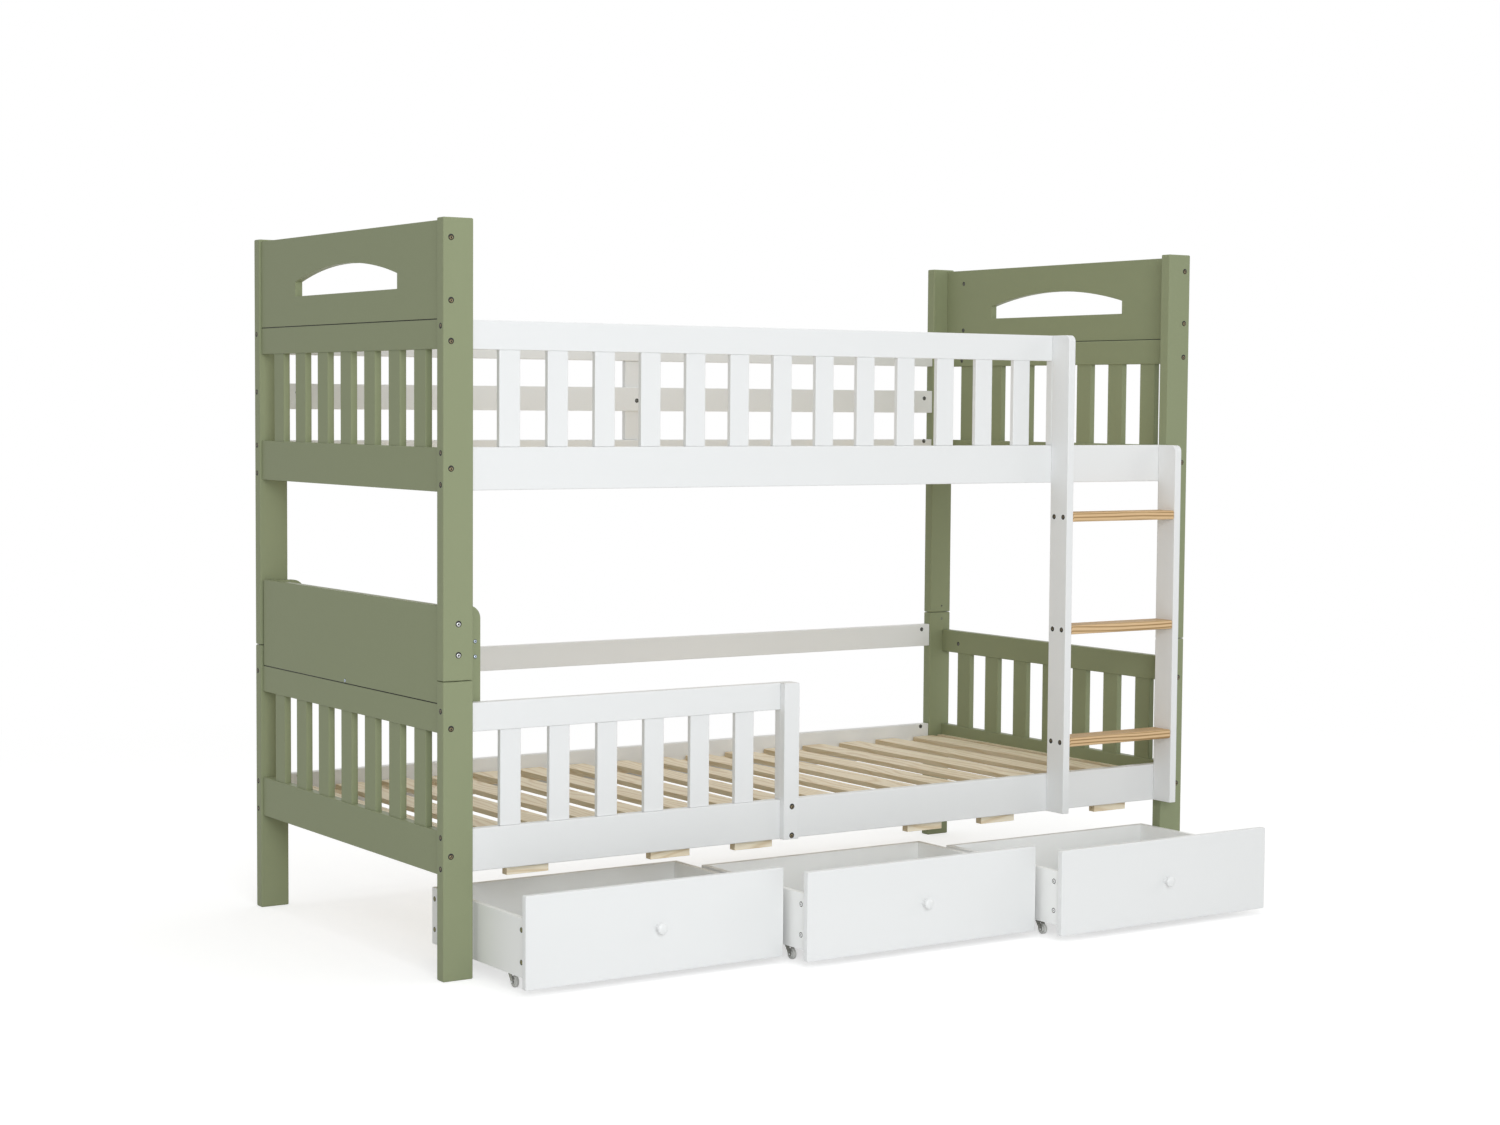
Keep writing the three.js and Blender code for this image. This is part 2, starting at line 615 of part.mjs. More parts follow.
// The wheel: a tread with rounded edges, a hub that stands proud of the web, and its bore.
function castorWheel(x, y) {
  const bore = AXLE_RADIUS + FIT;
  const half = WHEEL_WIDTH / 2;
  const web = half - WEB_RECESS;
  const hub = bore + HUB_WALL;
  const profile = [
    [bore, -half],
    [hub, -half],
    [hub + HUB_SLOPE, -web],
    [WHEEL_RADIUS - WHEEL_ROUNDING, -half],
    [WHEEL_RADIUS, -half + WHEEL_ROUNDING],
    [WHEEL_RADIUS, half - WHEEL_ROUNDING],
    [WHEEL_RADIUS - WHEEL_ROUNDING, half],
    [hub + HUB_SLOPE, web],
    [hub, half],
    [bore, half],
    [bore, -half],
  ].map(([radius, along]) => new THREE.Vector2(radius, along));
  const wheel = new THREE.LatheGeometry(profile, 12);
  return wheel.rotateZ(-Math.PI / 2).translate(x, y, WHEEL_RADIUS);
}

// The knob, turned about its screw and standing out from the front.
function knob(x, z) {
  const head = KNOB_LENGTH - KNOB_HEAD_LENGTH;
  const crown = new THREE.QuadraticBezierCurve(
    new THREE.Vector2(KNOB_RADIUS, head + KNOB_HEAD_LENGTH / 2),
    new THREE.Vector2(KNOB_CROWN_RADIUS, KNOB_LENGTH),
    new THREE.Vector2(0, KNOB_LENGTH),
  );
  const neck = new THREE.QuadraticBezierCurve(
    new THREE.Vector2(KNOB_FOOT_RADIUS, 0),
    new THREE.Vector2(KNOB_WAIST_RADIUS, head / 2),
    new THREE.Vector2(KNOB_SHOULDER_RADIUS, head),
  );
  const profile = [new THREE.Vector2(0, 0), ...neck.getPoints(3), ...crown.getPoints(4)];
  const turned = new THREE.LatheGeometry(profile, 16);
  return turned.rotateX(Math.PI).translate(x, 0, z);
}

function drawer(number, left, pull) {
  const group = new THREE.Group();
  group.position.set(left, -pull, 0);
  const name = (piece) => "drawer_" + number + "_" + piece;
  const add = (piece, geometry, material) =>
    group.add(mesh(name(piece), geometry, material));

  // Drawn as (Z, X), with its four corners eased.
  const face = roundedRectangle(
    FRONT_LIFT,
    0,
    FRONT_LIFT + FRONT_HEIGHT,
    FRONT_WIDTH,
    Array(4).fill(FRONT_CORNER),
  );
  add("front", extrude(face, "y", 0, FRONT_THICK, BOARD_EASE), "white");

  const [boxLeft, boxRight] = [BOX_INSET, FRONT_WIDTH - BOX_INSET];
  const [boxFront, boxBack] = [FRONT_THICK, FRONT_THICK + BOX_DEPTH];
  const boxTop = CASTOR_HEIGHT + BOX_HEIGHT;
  const sideWall = (x) =>
    board([x, boxFront, CASTOR_HEIGHT], [x + BOX_WALL, boxBack, boxTop], "y", STRIP_EASE);
  const crossWall = (y) =>
    board(
      [boxLeft + BOX_WALL - BOX_HOUSING, y, CASTOR_HEIGHT],
      [boxRight - BOX_WALL + BOX_HOUSING, y + BOX_WALL, boxTop],
      "x",
      STRIP_EASE,
    );
  const walls = [
    sideWall(boxLeft),
    sideWall(boxRight - BOX_WALL),
    crossWall(boxFront),
    crossWall(boxBack - BOX_WALL),
  ];
  add("box", join(...walls), "white");

  const panel = board(
    [boxLeft + BOX_WALL + FIT, boxFront + BOX_WALL + FIT, CASTOR_HEIGHT],
    [boxRight - BOX_WALL - FIT, boxBack - BOX_WALL - FIT, CASTOR_HEIGHT + BOTTOM_THICK],
    "x",
    0,
  );
  const castors = {
    front_left: [boxLeft + CASTOR_SIDE_INSET, boxFront + CASTOR_END_INSET],
    front_right: [boxRight - CASTOR_SIDE_INSET, boxFront + CASTOR_END_INSET],
    back_left: [boxLeft + CASTOR_SIDE_INSET, boxBack - CASTOR_END_INSET],
    back_right: [boxRight - CASTOR_SIDE_INSET, boxBack - CASTOR_END_INSET],
  };
  const bodies = Object.values(castors).map(([x, y]) => castorBody(x, y));
  add("bottom", join(panel, ...bodies), "white");
  for (const [place, [x, y]] of Object.entries(castors)) {
    add(place + "_wheel", castorWheel(x, y - CASTOR_TRAIL), "wheel");
  }
  add("knob", knob(FRONT_WIDTH / 2, FRONT_LIFT + FRONT_HEIGHT / 2), "white");
  return group;
}

function drawers() {
  const group = new THREE.Group();
  DRAWER_PULLS.forEach((pull, i) => {
    const left = BAY_START + DRAWER_GAP + i * (FRONT_WIDTH + DRAWER_GAP);
    group.add(drawer(i + 1, left, pull));
  });
  return group;
}

const bed = new THREE.Group();
bed.add(
  posts(),
  ends(),
  headboard(),
  upperSides(),
  lowerSides(),
  ladder(),
  slatBases(),
  drawers(),
);
const nearest = -Math.max(...DRAWER_PULLS) - KNOB_LENGTH;
bed.position.set(-BED_LENGTH / 2, -(nearest + BED_WIDTH) / 2, 0);

const bunkBed = new THREE.Group();
bunkBed.add(bed);

export default bunkBed;
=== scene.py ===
"""Looks of a bunk bed with drawers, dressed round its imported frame.

Places are in the frame's own axes: +X along the bed from the headboard end, -Y towards the ladder
side, +Z up. Lengths are metres, or millimetres where a class says so. Boards are made anew with
rounded edges in the place of the frame's faceted ones, slats and fasteners come from Geometry
Nodes, and all finishes are procedural.
"""

from __future__ import annotations

import logging
import math
import random
from dataclasses import dataclass, field
from enum import Enum
from typing import Iterable, Mapping, Sequence

import bmesh
import bpy
from mathutils import Matrix, Vector

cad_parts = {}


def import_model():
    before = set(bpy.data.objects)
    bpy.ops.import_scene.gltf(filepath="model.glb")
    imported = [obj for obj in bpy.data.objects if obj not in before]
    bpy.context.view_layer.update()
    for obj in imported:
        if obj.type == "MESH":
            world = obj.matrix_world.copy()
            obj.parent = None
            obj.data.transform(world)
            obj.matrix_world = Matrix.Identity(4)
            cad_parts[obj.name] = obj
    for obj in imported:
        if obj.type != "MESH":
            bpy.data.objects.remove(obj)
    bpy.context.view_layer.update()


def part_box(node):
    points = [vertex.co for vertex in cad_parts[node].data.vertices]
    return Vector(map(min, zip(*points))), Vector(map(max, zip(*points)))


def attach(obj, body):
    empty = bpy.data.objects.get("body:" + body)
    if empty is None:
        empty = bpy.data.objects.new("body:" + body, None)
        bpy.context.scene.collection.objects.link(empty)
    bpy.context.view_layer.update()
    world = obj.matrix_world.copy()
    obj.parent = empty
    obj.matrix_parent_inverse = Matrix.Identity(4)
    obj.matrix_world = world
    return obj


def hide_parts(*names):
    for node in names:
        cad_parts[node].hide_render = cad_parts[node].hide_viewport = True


LOG = logging.getLogger("bunk_bed")
MM = 0.001
FRAME = "frame"
BOARD = "board"  # attribute: a number for each board, which shifts its grain and tone
FACING = "facing"  # attribute: the way that a fastener's head points
PAINTED_SHADE_MARK = "shaded"  # attribute: 1 on a fastener's hole rim and head socket, which get painted shade
SMOOTH_ANGLE = math.radians(35)
FLAT_ANGLE = 0.01
SEED = 7
BOARD_STEPS = (17.0, 29.0, 41.0)  # how far the patterns of two boards can lie apart
LEVELS = ("lower", "upper")
CORNERS = ("front_left", "front_right", "back_left", "back_right")

Colour = tuple[float, float, float]
Point = tuple[float, float]
Places = list[tuple[Vector, Vector]]
Finish = bpy.types.Material
Socket = bpy.types.NodeSocket

FRONT, BACK = Vector((0, -1, 0)), Vector((0, 1, 0))
LEFT, RIGHT = Vector((-1, 0, 0)), Vector((1, 0, 0))


class Slot(Enum):
    """A finish, as the frame's record names it."""

    SAGE = "sage_paint"
    WHITE = "white_paint"
    PINE = "pine"
    WHEEL = "castor_wheel"


class Axis(Enum):
    """A direction of the frame, as the index of its coordinate."""

    X = 0
    Y = 1
    Z = 2

    def across(self) -> tuple[int, int]:
        """Returns the two other coordinates, in cyclic order."""
        return (self.value + 1) % 3, (self.value + 2) % 3

    def scale(self, along: float, across: float) -> tuple[float, ...]:
        """Returns a scale for each coordinate: one along the axis and another across it."""
        return tuple(along if i == self.value else across for i in range(3))

    def place(self, along: float, u: float, v: float) -> Vector:
        """Puts a point of a section at a distance along the axis.

        Args:
            along: coordinate on this axis.
            u: first coordinate of the section.
            v: second coordinate of the section.

        Returns:
            The point in the frame.
        """
        point = Vector((0.0, 0.0, 0.0))
        point[self.value] = along
        point[self.across()[0]] = u
        point[self.across()[1]] = v
        return point


class Expr:
    """A number in a node tree. Python operators on it add Math nodes."""

    def __init__(self, bench: "Bench", socket: Socket) -> None:
        """Wraps an output socket of one of the bench's nodes."""
        self.bench = bench
        self.socket = socket

    def _math(self, operation: str, *values: "Expr | float") -> "Expr":
        """Adds one Math node.

        Args:
            operation: the node's operation.
            values: its inputs, in order.

        Returns:
            The result as an expression.
        """
        settings = {"operation": operation}
        return Expr(self.bench, self.bench.out("ShaderNodeMath", settings, dict(enumerate(values))))

    def __add__(self, other: "Expr | float") -> "Expr":
        """Returns self + other."""
        return self._math("ADD", self, other)

    __radd__ = __add__

    def __sub__(self, other: "Expr | float") -> "Expr":
        """Returns self - other."""
        return self._math("SUBTRACT", self, other)

    def __rsub__(self, other: "Expr | float") -> "Expr":
        """Returns other - self."""
        return self._math("SUBTRACT", other, self)

    def __mul__(self, other: "Expr | float") -> "Expr":
        """Returns self * other."""
        return self._math("MULTIPLY", self, other)

    __rmul__ = __mul__

    def __pow__(self, other: "Expr | float") -> "Expr":
        """Returns self to the power of other."""
        return self._math("POWER", self, other)

    def clamp(self) -> "Expr":
        """Returns self kept between 0 and 1."""
        return self._math("MINIMUM", self._math("MAXIMUM", self, 0.0), 1.0)

    def sine(self) -> "Expr":
        """Returns the sine of self."""
        return self._math("SINE", self)


class Bench:
    """A node tree under construction, of shader or geometry nodes."""

    def __init__(self, tree: bpy.types.NodeTree) -> None:
        """Starts on an emptied tree."""
        tree.nodes.clear()
        self.tree = tree

    def node(
        self,
        kind: str,
        settings: Mapping[str, object] | None = None,
        values: Mapping[str | int, object] | None = None,
    ) -> bpy.types.Node:
        """Adds a node.

        Args:
            kind: the node's type.
            settings: its properties, set first.
            values: its inputs by name or index; sockets and expressions are linked.

        Returns:
            The node.
        """
        made = self.tree.nodes.new(kind)
        for name, value in (settings or {}).items():
            setattr(made, name, value)
        for key, value in (values or {}).items():
            if isinstance(value, Expr):
                value = value.socket
            if isinstance(value, Socket):
                self.tree.links.new(value, made.inputs[key])
            else:
                made.inputs[key].default_value = value
        return made

    def out(self, *node: object) -> Socket:
        """Returns the first output of a new node, which takes what node() takes."""
        return self.node(*node).outputs[0]

    def vector(self, x: Expr | float = 0.0, y: Expr | float = 0.0, z: Expr | float = 0.0) -> Socket:
        """Returns a vector put together from three numbers."""
        return self.out("ShaderNodeCombineXYZ", None, {0: x, 1: y, 2: z})

    def mix(self, factor: Expr | float, a: Colour | Socket, b: Colour | Socket) -> Socket:
        """Mixes two colours.

        Args:
            factor: 0 for a, 1 for b.
            a: a colour or a colour socket.
            b: a colour or a colour socket.

        Returns:
            The colour output.
        """
        first, second = ((*c, 1.0) if isinstance(c, tuple) else c for c in (a, b))
        values = {0: factor, 6: first, 7: second}
        return self.node("ShaderNodeMix", {"data_type": "RGBA"}, values).outputs[2]


class ShaderBench(Bench):
    """A material's node tree, with the inputs that the finishes share."""

    def __init__(self, name: str) -> None:
        """Starts a material.

        Args:
            name: the material's name.
        """
        self.material = bpy.data.materials.new(name)
        self.material.use_nodes = True
        super().__init__(self.material.node_tree)

    def number(self, node: bpy.types.Node, output: str | int) -> Expr:
        """Returns a node's output as an expression."""
        return Expr(self, node.outputs[output])

    def board_number(self) -> Expr:
        """Returns the number of the board that a point lies on."""
        return self.number(self.node("ShaderNodeAttribute", {"attribute_name": BOARD}), "Fac")

    def place(self) -> Socket:
        """Returns the point's place on the object."""
        return self.node("ShaderNodeTexCoord").outputs["Object"]

    def noise(self, scale: Sequence[float], shift: Expr | None = None, detail: float = 2.0) -> Expr:
        """Adds noise that can be longer one way.

        Args:
            scale: repeats per metre on each axis.
            shift: a number that moves the pattern, different for each board.
            detail: octaves.

        Returns:
            The noise, from 0 to 1.
        """
        kind = "ShaderNodeVectorMath"
        vector = self.out(kind, {"operation": "MULTIPLY"}, {0: self.place(), 1: tuple(scale)})
        if shift is not None:
            moved = self.vector(*(shift * step for step in BOARD_STEPS))
            vector = self.out(kind, {"operation": "ADD"}, {0: vector, 1: moved})
        values = {"Vector": vector, "Scale": 1.0, "Detail": detail}
        return self.number(self.node("ShaderNodeTexNoise", None, values), "Fac")

    def finish(self, values: Mapping[str, object], height: Expr, depth: float) -> Finish:
        """Ends the material in a Principled shader.

        Args:
            values: its sockets.
            height: surface relief from 0 to 1.
            depth: how deep the relief is.

        Returns:
            The material.
        """
        normal = self.out("ShaderNodeBump", None, {"Height": height, "Distance": depth})
        shader = self.out("ShaderNodeBsdfPrincipled", None, {**values, "Normal": normal})
        self.node("ShaderNodeOutputMaterial", None, {"Surface": shader})
        return self.material


@dataclass(frozen=True)
class Paint:
    """Sprayed paint over wood, whose grain and orange peel show faintly.

    Scales are repeats per metre, along the grain and across it.
    """

    name: str
    colour: Colour
    tone: Colour
    roughness: float
    ior: float
    cloud_scale: Point = (2.0, 9.0)
    grain_scale: Point = (6.0, 260.0)
    peel_scale: float = 700.0
    relief: float = 0.12 * MM

    def build(self, axis: Axis) -> Finish:
        """Makes the paint for one way of the grain.

        Args:
            axis: the way that the grain runs.

        Returns:
            The material.
        """
        bench = ShaderBench(f"{self.name}_{axis.name.lower()}")
        board = bench.board_number()
        clouds = bench.noise(axis.scale(*self.cloud_scale), board)
        grain = bench.noise(axis.scale(*self.grain_scale), board, 3.0)
        peel = bench.noise((self.peel_scale,) * 3, detail=1.0)
        colour = bench.mix((clouds * 0.8 + grain * 0.2).clamp(), self.tone, self.colour)
        roughness = (self.roughness + (clouds - 0.5) * 0.12 + (peel - 0.5) * 0.05).clamp()
        values = {"Base Color": colour, "Roughness": roughness, "IOR": self.ior}
        return bench.finish(values, grain * 0.6 + peel * 0.4, self.relief)


@dataclass(frozen=True)
class Pine:
    """Planed pine: growth rings cut lengthwise, in a tone that varies from board to board. Faces
    across X turn towards a darker colour, partly the cut side's own colour and partly painted
    shade.

    Scales are repeats per metre, along the grain and across it.
    """

    name: str
    early: Colour
    pale: Colour
    late: Colour
    sawn_side_shade: Colour
    ring_scale: float
    wander: float
    contrast: float
    ring_slant: float = 0.55
    sawn_side_shade_share: float = 0.55
    slow_scale: Point = (1.6, 7.0)
    bend_scale: Point = (5.0, 14.0)
    fibre_scale: Point = (12.0, 700.0)
    ior: float = 1.45
    relief: float = 0.2 * MM

    def build(self, axis: Axis) -> Finish:
        """Makes the pine for one way of the grain.

        Args:
            axis: the way that the grain runs.

        Returns:
            The material.
        """
        bench = ShaderBench(f"{self.name}_{axis.name.lower()}")
        board = bench.board_number()
        slow = bench.noise(axis.scale(*self.slow_scale), board)
        bend = bench.noise(axis.scale(*self.bend_scale), board)
        fibre = bench.noise(axis.scale(*self.fibre_scale), board, 3.0)
        place = bench.node("ShaderNodeSeparateXYZ", None, {0: bench.place()})
        first, second = (bench.number(place, i) for i in axis.across())
        slant = self.ring_scale * self.ring_slant
        radius = first * self.ring_scale + second * slant + board * 31.0
        rings = ((radius + slow * self.wander + bend * (self.wander * 0.15)) * math.tau).sine()
        late_wood = ((rings * 0.5 + 0.5) ** 3.0) * (bend * 0.5 + 0.45)
        ground = bench.mix((board + slow * 0.3).clamp(), self.early, self.pale)
        figure = (late_wood * self.contrast + (fibre - 0.5) * 0.35).clamp()
        planed = bench.mix(figure, ground, self.late)
        normal = bench.node("ShaderNodeNewGeometry").outputs["True Normal"]
        facing = bench.number(bench.node("ShaderNodeSeparateXYZ", None, {0: normal}), "X")
        # Faces across X are darkened: partly the cut side's own colour, partly painted shade.
        colour = bench.mix(facing * facing * self.sawn_side_shade_share, planed, self.sawn_side_shade)
        values = {"Base Color": colour, "Roughness": 0.58 - late_wood * 0.12, "IOR": self.ior}
        return bench.finish(values, fibre * 0.6 + late_wood * 0.4, self.relief)


@dataclass(frozen=True)
class Metal:
    """Plated steel with a brushed or stamped surface. Scales are repeats per metre."""

    name: str
    colour: Colour
    stain: Colour
    roughness: float
    metallic: float = 1.0
    spot_scale: float = 380.0
    fine_scale: float = 2400.0
    relief: float = 0.03 * MM

    def build(self) -> Finish:
        """Makes the metal.

        Returns:
            The material.
        """
        bench = ShaderBench(self.name)
        spots = bench.noise((self.spot_scale,) * 3, detail=3.0)
        fine = bench.noise((self.fine_scale,) * 3, detail=1.0)
        colour = bench.mix((spots * 1.4 - 0.2).clamp(), self.stain, self.colour)
        roughness = (self.roughness + (spots - 0.5) * 0.25).clamp()
        values = {"Base Color": colour, "Roughness": roughness, "Metallic": self.metallic}
        return bench.finish(values, fine, self.relief)


@dataclass(frozen=True)
class Plastic:
    """Moulded plastic with a fine matt texture. Scales are repeats per metre."""

    name: str
    colour: Colour
    roughness: float
    shade: float = 0.86
    cloud_scale: float = 60.0
    grit_scale: float = 1800.0
    relief: float = 0.02 * MM

    def build(self) -> Finish:
        """Makes the plastic.

        Returns:
            The material.
        """
        bench = ShaderBench(self.name)
        clouds = bench.noise((self.cloud_scale,) * 3)
        grit = bench.noise((self.grit_scale,) * 3)
        darker = tuple(self.shade * c for c in self.colour)
        colour = bench.mix((clouds * 0.7 + grit * 0.3).clamp(), darker, self.colour)
        values = {"Base Color": colour, "Roughness": self.roughness + (grit - 0.5) * 0.15}
        return bench.finish(values, grit, self.relief)


class Finishes:
    """All materials of the bed, each made once, and boards' ones for each way of the grain."""

    def __init__(self) -> None:
        """Builds the materials."""
        sage = Paint("sage_paint", (0.29, 0.322, 0.194), (0.274, 0.304, 0.181), 0.36, 1.15)
        white = Paint("white_paint", (0.83, 0.836, 0.832), (0.815, 0.822, 0.818), 0.36, 1.55)
        box = Paint("box_paint", (0.91, 0.915, 0.90), (0.90, 0.905, 0.89), 0.4, 1.55)
        slat = Pine(
            "pine",
            early=(0.92, 0.78, 0.56),
            pale=(0.97, 0.88, 0.70),
            late=(0.60, 0.39, 0.16),
            sawn_side_shade=(0.40, 0.285, 0.115),
            ring_scale=70.0,
            wander=9.0,
            contrast=0.6,
        )
        rung = Pine(
            "rung_pine",
            early=(0.69, 0.465, 0.245),
            pale=(0.74, 0.525, 0.295),
            late=(0.30, 0.165, 0.05),
            sawn_side_shade=(0.42, 0.24, 0.1),
            ring_scale=210.0,
            wander=2.4,
            contrast=1.45,
        )
        self.sage = {axis: sage.build(axis) for axis in (Axis.Y, Axis.Z)}
        self.white = {axis: white.build(axis) for axis in Axis}
        self.box = {axis: box.build(axis) for axis in (Axis.X, Axis.Y)}
        self.pine = {axis: slat.build(axis) for axis in (Axis.X, Axis.Y)}
        self.rung = rung.build(Axis.X)
        self.bronze = Metal("bronzed_bolt", (0.33, 0.27, 0.165), (0.08, 0.06, 0.035), 0.27).build()
        self.silver = Metal("nickel_bolt", (0.74, 0.75, 0.74), (0.4, 0.41, 0.42), 0.22).build()
        self.zinc = Metal("zinc_screw", (0.56, 0.64, 0.74), (0.34, 0.40, 0.48), 0.3).build()
        self.brass = Metal("brassed_screw", (0.30, 0.28, 0.14), (0.12, 0.12, 0.06), 0.35).build()
        self.stamped = Metal("stamped_steel", (0.38, 0.38, 0.35), (0.14, 0.14, 0.12), 0.28).build()
        # Near black and not metal: painted shade on hole rims, in sockets and in the gaps of
        # joints.
        self.painted_shade = Metal("painted_shade_black", (0.02, 0.02, 0.02), (0.01, 0.01, 0.01), 0.7, 0.0).build()
        self.tread = Plastic("grey_tread", (0.8, 0.8, 0.76), 0.35).build()
        self.hub = Plastic("pale_hub", (0.9, 0.9, 0.87), 0.3).build()


def linked(name: str, data: bpy.types.ID) -> bpy.types.Object:
    """Makes an object and links it to the scene.

    Args:
        name: its name.
        data: what it shows.

    Returns:
        The object.
    """
    made = bpy.data.objects.new(name, data)
    bpy.context.scene.collection.objects.link(made)
    return made


def hardened(name: str, mesh: bmesh.types.BMesh) -> bpy.types.Mesh:
    """Turns a bmesh into a plain mesh and frees it.

    Args:
        name: the mesh's name.
        mesh: the bmesh.

    Returns:
        The plain mesh.
    """
    data = bpy.data.meshes.new(name)
    mesh.to_mesh(data)
    mesh.free()
    return data


def round_edges(made: bpy.types.Object, ease: float, segments: int = 3) -> None:
    """Rounds an object's sharp edges with a Bevel modifier.

    Args:
        made: the object.
        ease: radius; nothing is done at 0.
        segments: steps round an edge.
    """
    if ease <= 0:
        return
    bevel = made.modifiers.new("rounded_edges", "BEVEL")
    bevel.width = ease
    bevel.segments = segments
    bevel.limit_method = "ANGLE"
    bevel.angle_limit = SMOOTH_ANGLE
    bevel.harden_normals = True
    bevel.use_clamp_overlap = True


def settle(made: bpy.types.Object, body: str, slot: Slot | None, replaces: Sequence[str]) -> None:
    """Puts a finished piece on its body.

    Args:
        made: the piece.
        body: the body that it rides on.
        slot: its finish in the record, if it has one; not used.
        replaces: frame nodes that it stands for.
    """
    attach(made, body)
    if replaces:
        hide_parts(*replaces)
    LOG.info("%s rides on %s", made.name, body)


class Shells:
    """Collects boards and turned shapes and makes one piece of them."""

    def __init__(self, name: str) -> None:
        """Starts an empty piece.

        Args:
            name: the piece's name.
        """
        self.name = name
        self.mesh = bmesh.new()
        self.board = self.mesh.verts.layers.float.new(BOARD)
        self.materials: list[Finish] = []
        self.random = random.Random(f"{SEED}{name}")

    def _mark(self, faces: Iterable[bmesh.types.BMFace], material: Finish) -> None:
        """Gives new faces their material and one board number.

        Args:
            faces: the faces of one closed shell.
            material: their finish.
        """
        number = self.random.random()
        if material not in self.materials:
            self.materials.append(material)
        for face in faces:
            face.material_index = self.materials.index(material)
            face.smooth = True
            for vert in face.verts:
                vert[self.board] = number

    def prism(
        self, outline: Sequence[Point], axis: Axis, start: float, end: float, material: Finish
    ) -> None:
        """Adds a closed prism.

        Args:
            outline: its section, anticlockwise in the axis's two other coordinates.
            axis: the way it is extruded.
            start: where it starts on that axis.
            end: where it ends.
            material: its finish.
        """
        low = [self.mesh.verts.new(axis.place(start, u, v)) for u, v in outline]
        high = [self.mesh.verts.new(axis.place(end, u, v)) for u, v in outline]
        faces = [self.mesh.faces.new(list(reversed(low))), self.mesh.faces.new(high)]
        for i in range(len(outline)):
            j = (i + 1) % len(outline)
            faces.append(self.mesh.faces.new((low[i], low[j], high[j], high[i])))
        self._mark(faces, material)

    def block(self, low: Vector, high: Vector, material: Finish) -> None:
        """Adds a board between two corners.

        Args:
            low: its lowest corner.
            high: its highest corner.
            material: its finish.
        """
        outline = [(low.x, low.y), (high.x, low.y), (high.x, high.y), (low.x, high.y)]
        self.prism(outline, Axis.Z, low.z, high.z, material)

    def lathe(
        self,
        profile: Sequence[Point],
        axis: Axis,
        centre: Vector,
        material: Finish,
        sides: int,
        flip: bool = False,
    ) -> None:
        """Adds a turned shape.

        Args:
            profile: (distance along the axis, radius) pairs; the ends lie on the axis or meet.
            axis: the axis it is turned about.
            centre: the point of the axis that distances count from.
            material: its finish.
            sides: facets round it.
            flip: turns its distances towards the axis's negative end.
        """
        sign = -1.0 if flip else 1.0
        u, v = axis.across()
        rings: list[list[bmesh.types.BMVert]] = []
        for along, radius in profile:
            start = centre[axis.value] + sign * along
            ring = []
            for i in range(sides if radius > 0 else 1):
                angle = sign * math.tau * i / sides
                a = centre[u] + radius * math.cos(angle)
                b = centre[v] + radius * math.sin(angle)
                ring.append(self.mesh.verts.new(axis.place(start, a, b)))
            rings.append(ring)
        faces = []
        for here, there in zip(rings, rings[1:]):
            for i in range(sides):
                j = (i + 1) % sides
                if len(here) == 1:
                    corners = (here[0], there[j], there[i])
                elif len(there) == 1:
                    corners = (here[i], here[j], there[0])
                else:
                    corners = (here[i], here[j], there[j], there[i])
                faces.append(self.mesh.faces.new(corners))
        self._mark(faces, material)

    def piece(
        self,
        ease: float,
        body: str = FRAME,
        slot: Slot | None = None,
        replaces: Sequence[str] = (),
        segments: int = 3,
    ) -> None:
        """Makes the piece, with its edges rounded.

        Args:
            ease: radius of its edges.
            body: the body that it rides on.
            slot: its finish in the record.
            replaces: frame nodes that it stands for.
            segments: steps round an edge.
        """
        bmesh.ops.recalc_face_normals(self.mesh, faces=self.mesh.faces)
        made = linked(self.name, hardened(self.name, self.mesh))
        for material in self.materials:
            made.data.materials.append(material)
        round_edges(made, ease, segments)
        settle(made, body, slot, replaces)


